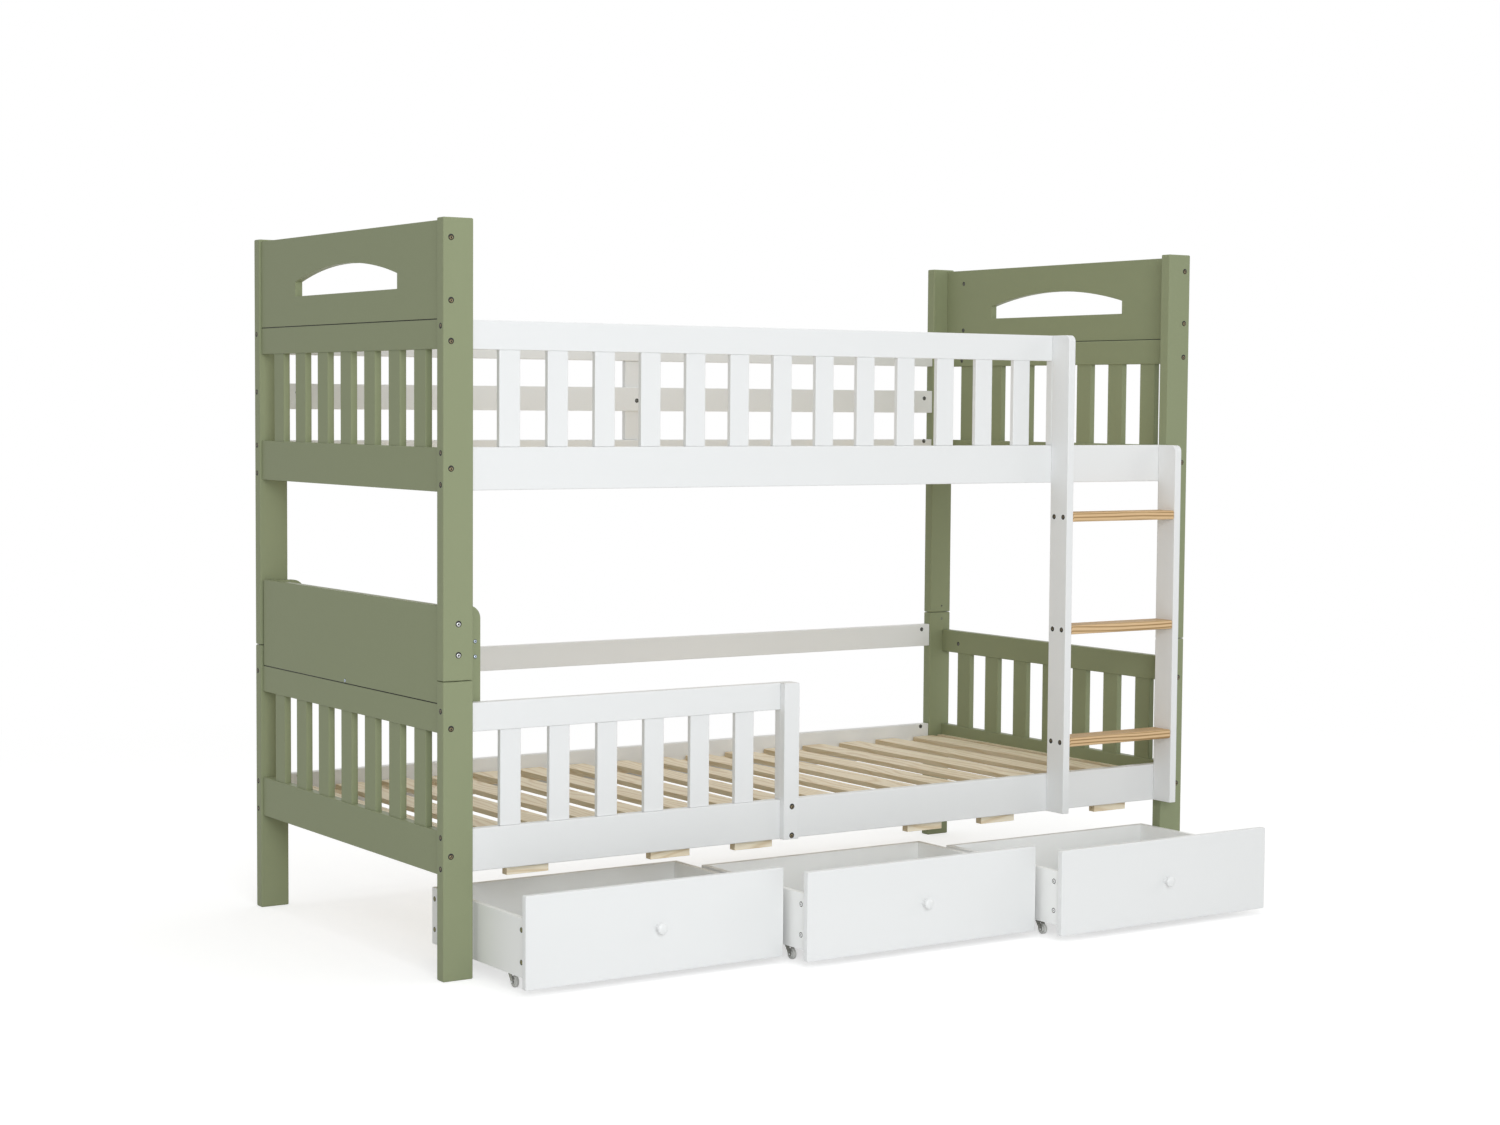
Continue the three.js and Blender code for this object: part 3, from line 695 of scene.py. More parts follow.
class Recipe(Bench):
    """A Geometry Nodes tree with named inputs."""

    def __init__(self, name: str) -> None:
        """Starts a tree that takes and gives a geometry.

        Args:
            name: the tree's name.
        """
        super().__init__(bpy.data.node_groups.new(name, "GeometryNodeTree"))
        for way in ("INPUT", "OUTPUT"):
            kind = "NodeSocketGeometry"
            self.tree.interface.new_socket("Geometry", in_out=way, socket_type=kind)
        self.given = self.node("NodeGroupInput")
        self.geometry = self.given.outputs[0]

    def input(self, name: str, kind: str) -> Socket:
        """Adds a named input.

        Args:
            name: its name.
            kind: its socket type, without the NodeSocket prefix.

        Returns:
            Its socket inside the tree.
        """
        self.tree.interface.new_socket(name, in_out="INPUT", socket_type=f"NodeSocket{kind}")
        return self.given.outputs[name]

    def number(self, name: str) -> Expr:
        """Returns a new named length or factor as an expression."""
        return Expr(self, self.input(name, "Float"))

    def random(self, low: Expr | float, high: Expr | float, seed: int) -> Expr:
        """Draws a random number for each element.

        Args:
            low: the least.
            high: the most.
            seed: fixes the draw.

        Returns:
            The number.
        """
        settings = {"data_type": "FLOAT"}
        made = self.node("FunctionNodeRandomValue", settings, {2: low, 3: high, "Seed": seed})
        return Expr(self, made.outputs[1])

    def either_way(self, limit: Expr, seed: int) -> Expr:
        """Returns a random number from -limit to limit."""
        return self.random(limit * -1.0, limit, seed)

    def marked(self, geometry: Socket, name: str, value: Expr | float, domain: str) -> Socket:
        """Stores a number on a geometry.

        Args:
            geometry: the geometry.
            name: the attribute.
            value: the number.
            domain: what each number belongs to.

        Returns:
            The geometry with its attribute.
        """
        settings = {"data_type": "FLOAT", "domain": domain}
        values = {"Geometry": geometry, "Name": name, "Value": value}
        return self.out("GeometryNodeStoreNamedAttribute", settings, values)

    def moved(self, geometry: Socket, offset: Socket) -> Socket:
        """Returns a geometry whose points are moved by an offset."""
        return self.out("GeometryNodeSetPosition", None, {0: geometry, "Offset": offset})

    def turned(self, instances: Socket, **values: Socket) -> Socket:
        """Returns instances that are turned, each by its own Rotation."""
        named = {name.replace("_", " "): value for name, value in values.items()}
        return self.out("GeometryNodeRotateInstances", None, {"Instances": instances, **named})

    def end(self, instances: Socket, material: Socket, shade: Socket | None = None) -> None:
        """Ends the tree: instances are made real and get their finish.

        Args:
            instances: the geometry.
            material: the finish.
            shade: the near-black finish of painted shade, for the faces that carry that mark.
        """
        real = self.out("GeometryNodeRealizeInstances", None, {0: instances})
        real = self.out("GeometryNodeSetMaterial", None, {"Geometry": real, "Material": material})
        if shade is not None:
            settings = {"data_type": "FLOAT"}
            painted_shade = self.out("GeometryNodeInputNamedAttribute", settings, {"Name": PAINTED_SHADE_MARK})
            values = {"Geometry": real, "Selection": painted_shade, "Material": shade}
            real = self.out("GeometryNodeSetMaterial", None, values)
        self.node("NodeGroupOutput", None, {0: real})

    def make(
        self, name: str, source: bpy.types.Mesh, values: Mapping[str, object]
    ) -> bpy.types.Object:
        """Runs the tree on a mesh and turns the result into a plain object.

        Args:
            name: the new object's name.
            source: the mesh that the tree starts from.
            values: its named inputs.

        Returns:
            The object, with no modifier left on it.
        """
        made = linked(name, source)
        modifier = made.modifiers.new("recipe", "NODES")
        modifier.node_group = self.tree
        inputs = [item for item in self.tree.interface.items_tree if item.in_out == "INPUT"]
        places = {item.name: item.identifier for item in inputs}
        for key, value in values.items():
            modifier[places[key]] = value
        bpy.context.view_layer.update()
        evaluated = made.evaluated_get(bpy.context.evaluated_depsgraph_get())
        plain = bpy.data.meshes.new_from_object(evaluated)
        plain.name = name
        made.modifiers.remove(modifier)
        made.data = plain
        for polygon in plain.polygons:
            polygon.use_smooth = True
        return made


def slat_recipe() -> Recipe:
    """Builds the tree that lays one slat out in a row.

    Returns:
        The tree: its geometry is the first slat.
    """
    recipe = Recipe("slat_row")
    count = recipe.input("Count", "Int")
    pitch, centre = (recipe.input(name, "Vector") for name in ("Pitch", "Centre"))
    drift, tilt, skew = (recipe.number(name) for name in ("Drift", "Tilt", "Skew"))
    finish = recipe.input("Finish", "Material")
    line = recipe.out("GeometryNodeMeshLine", {"mode": "OFFSET"}, {"Count": count, "Offset": pitch})
    points = recipe.moved(line, recipe.vector(y=recipe.either_way(drift, SEED + 1)))
    values = {"Points": points, "Instance": recipe.geometry}
    row = recipe.out("GeometryNodeInstanceOnPoints", None, values)
    roll, swing = recipe.either_way(tilt, SEED), recipe.either_way(skew, SEED + 4)
    turned = recipe.turned(row, Rotation=recipe.vector(y=roll, z=swing), Pivot_Point=centre)
    number = recipe.random(0.0, 1.0, SEED + 2)
    recipe.end(recipe.marked(turned, BOARD, number, "INSTANCE"), finish)
    return recipe


def fastener_recipe(sides: int = 28, rim_taper: float = 0.97) -> Recipe:
    """Builds the tree that sets a bolt or screw in its hole at every vertex of a mesh.

    Args:
        sides: facets round a head and its hole.
        rim_taper: how much narrower the hole's lip is at its top.

    Returns:
        The tree: its geometry holds one vertex a fastener, with the way its head faces.
    """
    recipe = Recipe("fasteners")
    hole, lip, radius, height, crown, socket, depth, drop = (
        recipe.number(name)
        for name in (
            "Hole radius",
            "Hole lip",
            "Head radius",
            "Head height",
            "Crown radius",
            "Socket radius",
            "Socket depth",
            "Drop",
        )
    )
    socket_sides = recipe.input("Socket sides", "Int")
    shade, finish = (recipe.input(name, "Material") for name in ("Shade", "Finish"))
    rim, head = (
        recipe.out(
            "GeometryNodeMeshCone",
            None,
            {"Vertices": sides, "Radius Top": top, "Radius Bottom": foot, "Depth": rise},
        )
        for top, foot, rise in ((hole * rim_taper, hole, lip), (crown, radius, height))
    )
    values = {"Vertices": socket_sides, "Radius": socket, "Depth": depth * 2.0}
    pocket = recipe.out("GeometryNodeMeshCylinder", None, values)
    # The hole's rim and the head's socket are marked for the Shade finish: painted shade in the
    # hole and the socket.
    rim, pocket = (recipe.marked(part, PAINTED_SHADE_MARK, 1.0, "FACE") for part in (rim, pocket))
    values = {0: pocket, "Translation": recipe.vector(z=height)}
    cutter = recipe.out("GeometryNodeTransform", None, values)
    settings = {"operation": "DIFFERENCE", "solver": "EXACT"}
    bored = recipe.out("GeometryNodeMeshBoolean", settings, {"Mesh 1": head, "Mesh 2": cutter})
    settings = {"data_type": "FLOAT_VECTOR"}
    facing = recipe.out("GeometryNodeInputNamedAttribute", settings, {"Name": FACING})
    turn = recipe.out("FunctionNodeAlignRotationToVector", {"axis": "Z"}, {"Vector": facing})
    dropped = recipe.moved(recipe.geometry, recipe.vector(z=drop * -1.0))
    holes, heads = (
        recipe.out(
            "GeometryNodeInstanceOnPoints",
            None,
            {"Points": points, "Instance": part, "Rotation": turn},
        )
        for points, part in ((recipe.geometry, rim), (dropped, bored))
    )
    spin = recipe.vector(z=recipe.random(0.0, math.tau, SEED + 3))
    both = recipe.node("GeometryNodeJoinGeometry")
    for part in (holes, recipe.turned(heads, Rotation=spin)):
        recipe.tree.links.new(part, both.inputs[0])
    recipe.end(both.outputs[0], finish, shade)
    return recipe


def outline_with_corners(
    low: Point, high: Point, radii: Sequence[float], steps: int = 8
) -> list[Point]:
    """Draws a rectangle with rounded corners.

    Args:
        low: its lowest corner.
        high: its highest corner.
        radii: of the corners, from the lowest one anticlockwise.
        steps: of each round.

    Returns:
        The points, anticlockwise.
    """
    corners = [
        (low[0], low[1], 1, 1, 1.0),
        (high[0], low[1], -1, 1, 1.5),
        (high[0], high[1], -1, -1, 0.0),
        (low[0], high[1], 1, -1, 0.5),
    ]
    points: list[Point] = []
    for (u, v, in_u, in_v, start), radius in zip(corners, radii):
        if radius <= 0:
            points.append((u, v))
            continue
        for k in range(steps + 1):
            angle = (start + 0.5 * k / steps) * math.pi
            a = u + in_u * radius + radius * math.cos(angle)
            b = v + in_v * radius + radius * math.sin(angle)
            points.append((a, b))
    return points


def mirrored(half: Sequence[Point]) -> list[Point]:
    """Returns half of a turned profile and its mirror image, from its negative end."""
    return [*half, *((-along, radius) for along, radius in reversed(half))]


def first_of_row(start: float, end: float, count: int, width: float) -> Point:
    """Shares a room among equal strips with equal gaps.

    Args:
        start: where the room starts.
        end: where it ends.
        count: of strips.
        width: of a strip.

    Returns:
        The first strip's place, and the pitch.
    """
    gap = (end - start - count * width) / (count + 1)
    return start + gap, gap + width


def square_board(
    node: str,
    material: Finish,
    ease: float,
    slot: Slot,
    foot: float | None = None,
    segments: int = 3,
) -> None:
    """Makes a square-cut board in the place of a frame's node.

    Args:
        node: the node that it stands for.
        material: its finish.
        ease: radius of its edges.
        slot: its finish in the record.
        foot: height that it starts at, if that isn't the node's.
        segments: steps round an edge.
    """
    low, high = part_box(node)
    if foot is not None:
        low.z = foot
    shells = Shells(node + "_board")
    shells.block(low, high, material)
    shells.piece(ease, slot=slot, replaces=[node], segments=segments)


@dataclass
class RoundedBoard:
    """A board whose corners are rounded as seen along one axis."""

    axis: Axis
    radii: Sequence[float]
    material: Finish
    ease: float
    slot: Slot
    body: str = FRAME
    steps: int = 8

    def build(self, node: str) -> None:
        """Makes the board in the place of a frame's node.

        Args:
            node: the node that it stands for.
        """
        low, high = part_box(node)
        u, v = self.axis.across()
        outline = outline_with_corners((low[u], low[v]), (high[u], high[v]), self.radii, self.steps)
        along = self.axis.value
        shells = Shells(node + "_board")
        shells.prism(outline, self.axis, low[along], high[along], self.material)
        shells.piece(self.ease, self.body, self.slot, [node])


@dataclass
class Layout:
    """Places in millimetres from the bed's front left corner at the floor."""

    origin: Vector = field(default_factory=lambda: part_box("front_left_lower_post")[0].copy())
    far: Vector = field(default_factory=lambda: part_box("back_right_lower_post")[1].copy())

    @property
    def length(self) -> float:
        """The bed's length over its posts."""
        return self.mm(self.far).x

    @property
    def width(self) -> float:
        """The bed's width over its posts."""
        return self.mm(self.far).y

    def at(self, x: float, y: float, z: float) -> Vector:
        """Returns a place in the frame."""
        return self.origin + Vector((x, y, z)) * MM

    def mm(self, place: Vector) -> Vector:
        """Returns a place of the frame in millimetres from the corner, to a thousandth."""
        return Vector([round((c - o) / MM, 3) for c, o in zip(place, self.origin)])

    def box(self, node: str) -> tuple[Vector, Vector]:
        """Returns a node's lowest and highest corner in millimetres."""
        low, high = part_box(node)
        return self.mm(low), self.mm(high)


@dataclass
class Posts:
    """Four corner posts, each split into a lower and an upper half."""

    finishes: Finishes
    ease: float = 3.0 * MM
    joint: float = 1.0 * MM

    def build(self) -> None:
        """Makes the eight halves."""
        for corner in CORNERS:
            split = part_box(f"{corner}_lower_post")[1].z
            for level, foot in zip(LEVELS, (None, split + self.joint)):
                node = f"{corner}_{level}_post"
                square_board(node, self.finishes.sage[Axis.Z], self.ease, Slot.SAGE, foot)


@dataclass
class EndPanels:
    """Slatted end panels, arched boards and the headboard with its brackets."""

    finishes: Finishes
    slats: Recipe
    rail_height: float = 61.0 * MM
    foot_rail_height: float = 92.0 * MM
    slat_count: int = 7
    slat_width: float = 55.0 * MM
    slat_thick: float = 16.0 * MM
    tenon: float = 12.0 * MM
    ease: float = 2.0 * MM
    window_width: float = 528.0 * MM
    window_lift: float = 69.0 * MM
    window_side: float = 33.0 * MM
    window_rise: float = 32.0 * MM
    window_steps: int = 48
    bracket_corner: float = 28.0 * MM
    joint: float = 1.6 * MM
    joint_depth: float = 1.2 * MM

    def build(self) -> None:
        """Makes the pieces of both ends."""
        for side in ("left", "right"):
            for level in LEVELS:
                self.panel(f"{side}_{level}_end_panel")
            self.arch_board(f"{side}_arch_board")
        self.headboard()

    def panel(self, node: str) -> None:
        """Makes one slatted panel.

        Args:
            node: the frame's node that it stands for.
        """
        low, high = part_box(node)
        shells = Shells(node + "_rails")
        sage = self.finishes.sage
        foot_top = low.z + self.foot_rail_height
        rail_foot = high.z - self.rail_height
        shells.block(low, Vector((high.x, high.y, foot_top)), sage[Axis.Y])
        shells.block(Vector((low.x, low.y, rail_foot)), high, sage[Axis.Y])
        shells.piece(self.ease, slot=Slot.SAGE, replaces=[node])
        first, pitch = first_of_row(low.y, high.y, self.slat_count, self.slat_width)
        inset = (high.x - low.x - self.slat_thick) / 2
        slat_low = Vector((low.x + inset, first, foot_top - self.tenon))
        slat_high = Vector((high.x - inset, first + self.slat_width, rail_foot + self.tenon))
        row = SlatRow(self.slats, slat_low, slat_high, self.slat_count, Vector((0, pitch, 0)))
        row.build(node + "_slats", sage[Axis.Z], self.ease, Slot.SAGE)

    def arch_board(self, node: str) -> None:
        """Makes one board with its arched window.

        Args:
            node: the frame's node that it stands for.
        """
        low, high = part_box(node)
        low.z += self.joint
        middle = (low.y + high.y) / 2
        half = self.window_width / 2
        sill = low.z - self.joint + self.window_lift
        spring = sill + self.window_side
        radius = (half**2 + self.window_rise**2) / (2 * self.window_rise)
        sweep = math.asin(half / radius)
        centre = spring + self.window_rise - radius
        window = [(middle - half, sill), (middle + half, sill), (middle + half, spring)]
        for k in range(1, self.window_steps):
            angle = math.pi / 2 - sweep + 2 * sweep * k / self.window_steps
            window.append((middle + radius * math.cos(angle), centre + radius * math.sin(angle)))
        window.append((middle - half, spring))
        outer = [(low.y, low.z), (high.y, low.z), (high.y, high.z), (low.y, high.z)]
        made = plate_with_window(node + "_board", outer, window, low.x, high.x)
        made.data.materials.append(self.finishes.sage[Axis.Y])
        round_edges(made, self.ease / 2, 2)
        settle(made, FRAME, Slot.SAGE, [node])
        self.joint_shade_strip(node, low, high)

    def joint_shade_strip(self, node: str, low: Vector, high: Vector) -> None:
        """Fills the joint under a board with a near-black strip that stands back from its faces:
        painted shade in the gap.

        Args:
            node: the board's node.
            low: the board's lowest corner, above the joint.
            high: its highest corner.
        """
        back = Vector((self.joint_depth, 0.0, 0.0))
        foot = low + back
        foot.z -= self.joint
        # The strip is near black: painted shade at the back of the joint.
        shells = Shells(node + "_joint")
        shells.block(foot, Vector((high.x, high.y, low.z)) - back, self.finishes.painted_shade)
        shells.piece(0)

    def headboard(self) -> None:
        """Makes the headboard panel and the two brackets."""
        node, sage = "headboard_panel", self.finishes.sage
        low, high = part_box(node)
        low.z += self.joint
        square_board(node, sage[Axis.Y], self.ease, Slot.SAGE, low.z)
        self.joint_shade_strip(node, low, high)
        radii = (0.0, 0.0, self.bracket_corner, 0.0)
        bracket = RoundedBoard(Axis.Y, radii, sage[Axis.Z], self.ease, Slot.SAGE, steps=12)
        for side in ("front", "back"):
            bracket.build(side + "_bracket")


def plate_with_window(
    name: str, outer: Sequence[Point], window: Sequence[Point], start: float, end: float
) -> bpy.types.Object:
    """Makes a plate across X with a window right through it.

    Args:
        name: the object's name.
        outer: its outline as (y, z), anticlockwise.
        window: the window's outline as (y, z), anticlockwise.
        start: x of its one face.
        end: x of its other face.

    Returns:
        The object, without a material.
    """
    mesh = bmesh.new()
    edges = []
    for points in (outer, window):
        verts = [mesh.verts.new((start, y, z)) for y, z in points]
        edges += [mesh.edges.new((verts[i - 1], verts[i])) for i in range(len(verts))]
    bmesh.ops.triangle_fill(mesh, edges=edges, use_beauty=True)
    bmesh.ops.dissolve_limit(mesh, angle_limit=FLAT_ANGLE, verts=mesh.verts, edges=mesh.edges)
    raised = bmesh.ops.extrude_face_region(mesh, geom=list(mesh.faces), use_keep_orig=True)
    moved = [g for g in raised["geom"] if isinstance(g, bmesh.types.BMVert)]
    bmesh.ops.translate(mesh, verts=moved, vec=(end - start, 0.0, 0.0))
    bmesh.ops.recalc_face_normals(mesh, faces=mesh.faces)
    for face in mesh.faces:
        face.smooth = True
    return linked(name, hardened(name, mesh))


@dataclass
class SlatRow:
    """A row of equal slats, laid out by Geometry Nodes from the first one."""

    recipe: Recipe
    low: Vector
    high: Vector
    count: int
    pitch: Vector
    clip: float = 0.0
    drift: float = 0.0
    tilt: float = 0.0
    skew: float = 0.0

    def build(self, name: str, material: Finish, ease: float, slot: Slot) -> None:
        """Makes the row as one piece.

        Args:
            name: the piece's name.
            material: its finish.
            ease: radius of the slats' edges.
            slot: its finish in the record.
        """
        low, high = self.low, self.high
        shells = Shells(name + "_first")
        outline = outline_with_corners((low.x, low.y), (high.x, high.y), (self.clip,) * 4, 1)
        shells.prism(outline, Axis.Z, low.z, high.z, material)
        values = {
            "Count": self.count,
            "Pitch": tuple(self.pitch),
            "Centre": tuple((low + high) / 2),
            "Drift": self.drift,
            "Tilt": self.tilt,
            "Skew": self.skew,
            "Finish": material,
        }
        made = self.recipe.make(name, hardened(shells.name, shells.mesh), values)
        round_edges(made, ease)
        settle(made, FRAME, slot, [])


@dataclass
class Sides:
    """Rails and guards along the bed, all white."""

    finishes: Finishes
    slats: Recipe
    ease: float = 2.0 * MM
    rail_height: float = 61.0 * MM
    slat_width: float = 50.0 * MM
    slat_thick: float = 13.0 * MM
    tenon: float = 12.0 * MM
    upper_stile: float = 50.0 * MM
    lower_stile: float = 41.0 * MM
    upper_slats: int = 13
    lower_slats: int = 6
    batten_corner: float = 4.0 * MM
    fit: float = 0.3 * MM

    def build(self) -> None:
        """Makes the rails, guards and the batten."""
        white = self.finishes.white
        for node, axis in (
            ("upper_front_side_rail", Axis.X),
            ("upper_back_side_rail", Axis.X),
            ("upper_back_top_rail", Axis.X),
            ("lower_front_side_rail", Axis.X),
            ("lower_back_side_rail", Axis.X),
            ("lower_back_rail", Axis.X),
            ("upper_back_centre_stile", Axis.Z),
        ):
            square_board(node, white[axis], self.ease, Slot.WHITE)
        self.housed_rail("upper_back_middle_rail", "upper_back_centre_stile")
        self.guard("upper_front_guard", self.upper_stile, self.upper_slats)
        self.guard("lower_front_guard", self.lower_stile, self.lower_slats)
        radii = (0.0, 0.0, self.batten_corner, 0.0)
        batten = RoundedBoard(Axis.Y, radii, white[Axis.Z], self.ease / 2, Slot.WHITE)
        batten.build("lower_guard_batten")

    def housed_rail(self, node: str, stile: str) -> None:
        """Makes a rail with a housing across its back for a stile.

        Args:
            node: the frame's node that it stands for.
            stile: the node of the stile that lies in the housing.
        """
        low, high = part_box(node)
        inner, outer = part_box(stile)
        left, right = inner.x - self.fit, outer.x + self.fit
        outline = [(low.x, low.y), (high.x, low.y), (high.x, high.y), (right, high.y)]
        outline += [(right, inner.y), (left, inner.y), (left, high.y), (low.x, high.y)]
        shells = Shells(node + "_board")
        shells.prism(outline, Axis.Z, low.z, high.z, self.finishes.white[Axis.X])
        shells.piece(self.ease / 2, slot=Slot.WHITE, replaces=[node])

    def guard(self, node: str, stile: float, count: int) -> None:
        """Makes one guard panel.

        Args:
            node: the frame's node that it stands for.
            stile: width of its end stile.
            count: of its slats.
        """
        low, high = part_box(node)
        white = self.finishes.white
        rail_foot = high.z - self.rail_height
        reach = high.x - stile
        rail_low = Vector((low.x, low.y, rail_foot))
        shells = Shells(node + "_rails")
        shells.block(rail_low, Vector((reach, high.y, high.z)), white[Axis.X])
        shells.block(Vector((reach, low.y, low.z)), high, white[Axis.Z])
        shells.piece(self.ease, slot=Slot.WHITE, replaces=[node])
        first, pitch = first_of_row(low.x, reach, count, self.slat_width)
        inset = (high.y - low.y - self.slat_thick) / 2
        slat_low = Vector((first, low.y + inset, low.z))
        slat_high = Vector((first + self.slat_width, high.y - inset, rail_foot + self.tenon))
        row = SlatRow(self.slats, slat_low, slat_high, count, Vector((pitch, 0, 0)))
        row.build(node + "_slats", white[Axis.Z], self.ease, Slot.WHITE)


@dataclass
class Ladder:
    """Two white stiles and three pine rungs."""

    finishes: Finishes
    corner: float = 15.0 * MM
    stile_ease: float = 2.0 * MM
    rung_ease: float = 4.0 * MM

    def build(self) -> None:
        """Makes the ladder's five boards."""
        white, rung = self.finishes.white[Axis.Z], self.finishes.rung
        radii = (0.0, 0.0, 0.0, self.corner)
        stile = RoundedBoard(Axis.X, radii, white, self.stile_ease, Slot.WHITE)
        for side in ("left", "right"):
            stile.build(f"ladder_{side}_stile")
        for level in ("lower", "middle", "upper"):
            node = f"ladder_{level}_rung"
            square_board(node, rung, self.rung_ease, Slot.PINE, segments=5)


@dataclass
class SlatBases:
    """The slats of both bunks on their ledgers and cleats, in millimetres and radians."""

    finishes: Finishes
    slats: Recipe
    layout: Layout
    count: int = 16
    slat_width: float = 72.0
    slat_thick: float = 12.0
    end_gap: float = 6.0
    margin: float = 62.0
    ledger: float = 20.0
    cleat: float = 16.0
    fit: float = 0.3
    stop_offsets: tuple[float, ...] = (244.0, 466.0, 825.0)
    stop_length: float = 102.0
    clip: float = 5.0
    slat_ease: float = 1.5
    strip_ease: float = 0.8
    drift: float = 2.5
    tilt: float = 0.01
    skew: float = 0.008

    def build(self) -> None:
        """Makes both bases."""
        for level in LEVELS:
            self.strips(level)
            self.row(level)

    def row(self, level: str) -> None:
        """Lays out the slats of one base.

        Args:
            level: which bunk it belongs to.
        """
        at, node = self.layout.at, f"{level}_slat_base"
        low, high = self.layout.box(node)
        room = self.layout.length - 2 * self.margin - self.slat_width
        row = SlatRow(
            self.slats,
            at(self.margin, low.y + self.end_gap, high.z - self.slat_thick),
            at(self.margin + self.slat_width, high.y - self.end_gap, high.z),
            self.count,
            Vector((room / (self.count - 1) * MM, 0, 0)),
            clip=self.clip * MM,
            drift=self.drift * MM,
            tilt=self.tilt,
            skew=self.skew,
        )
        pine = self.finishes.pine[Axis.Y]
        row.build(node + "_slats", pine, self.slat_ease * MM, Slot.PINE)

    def strips(self, level: str) -> None:
        """Makes the ledgers and cleats of one base, and the lower one's stop blocks.

        Args:
            level: which bunk it belongs to.
        """
        at, node = self.layout.at, f"{level}_slat_base"
        along, across = self.finishes.pine[Axis.X], self.finishes.pine[Axis.Y]
        (left, front, bottom), (right, back, top) = self.layout.box(node)
        ledger_top = top - self.slat_thick
        foot = ledger_top - self.ledger
        post = self.layout.box(f"front_left_{level}_post")[1]
        bay_left = post.x + self.fit
        bay_right = self.layout.length - bay_left
        notch = post.y + self.fit
        shells = Shells(node + "_strips")
        for near, far, slim_near, slim_far in (
            (front, front + self.ledger, notch, front + self.ledger),
            (back - self.ledger, back, back - self.ledger, self.layout.width - notch),
        ):
            shells.block(at(bay_left, near, foot), at(bay_right, far, ledger_top), along)
            for start, end in ((left + self.cleat, bay_left), (bay_right, right - self.cleat)):
                shells.block(at(start, slim_near, foot), at(end, slim_far, ledger_top), along)
        for start in (left, right - self.cleat):
            end = at(start + self.cleat, back - self.end_gap, top)
            shells.block(at(start, front + self.end_gap, foot), end, across)
        for offset in self.stop_offsets if level == "lower" else ():
            for side in (-1, 1):
                centre = self.layout.length / 2 + side * offset
                end = at(centre + self.stop_length / 2, front + self.ledger, foot)
                shells.block(at(centre - self.stop_length / 2, front, bottom), end, along)
        shells.piece(self.strip_ease * MM, slot=Slot.PINE, replaces=[node], segments=2)


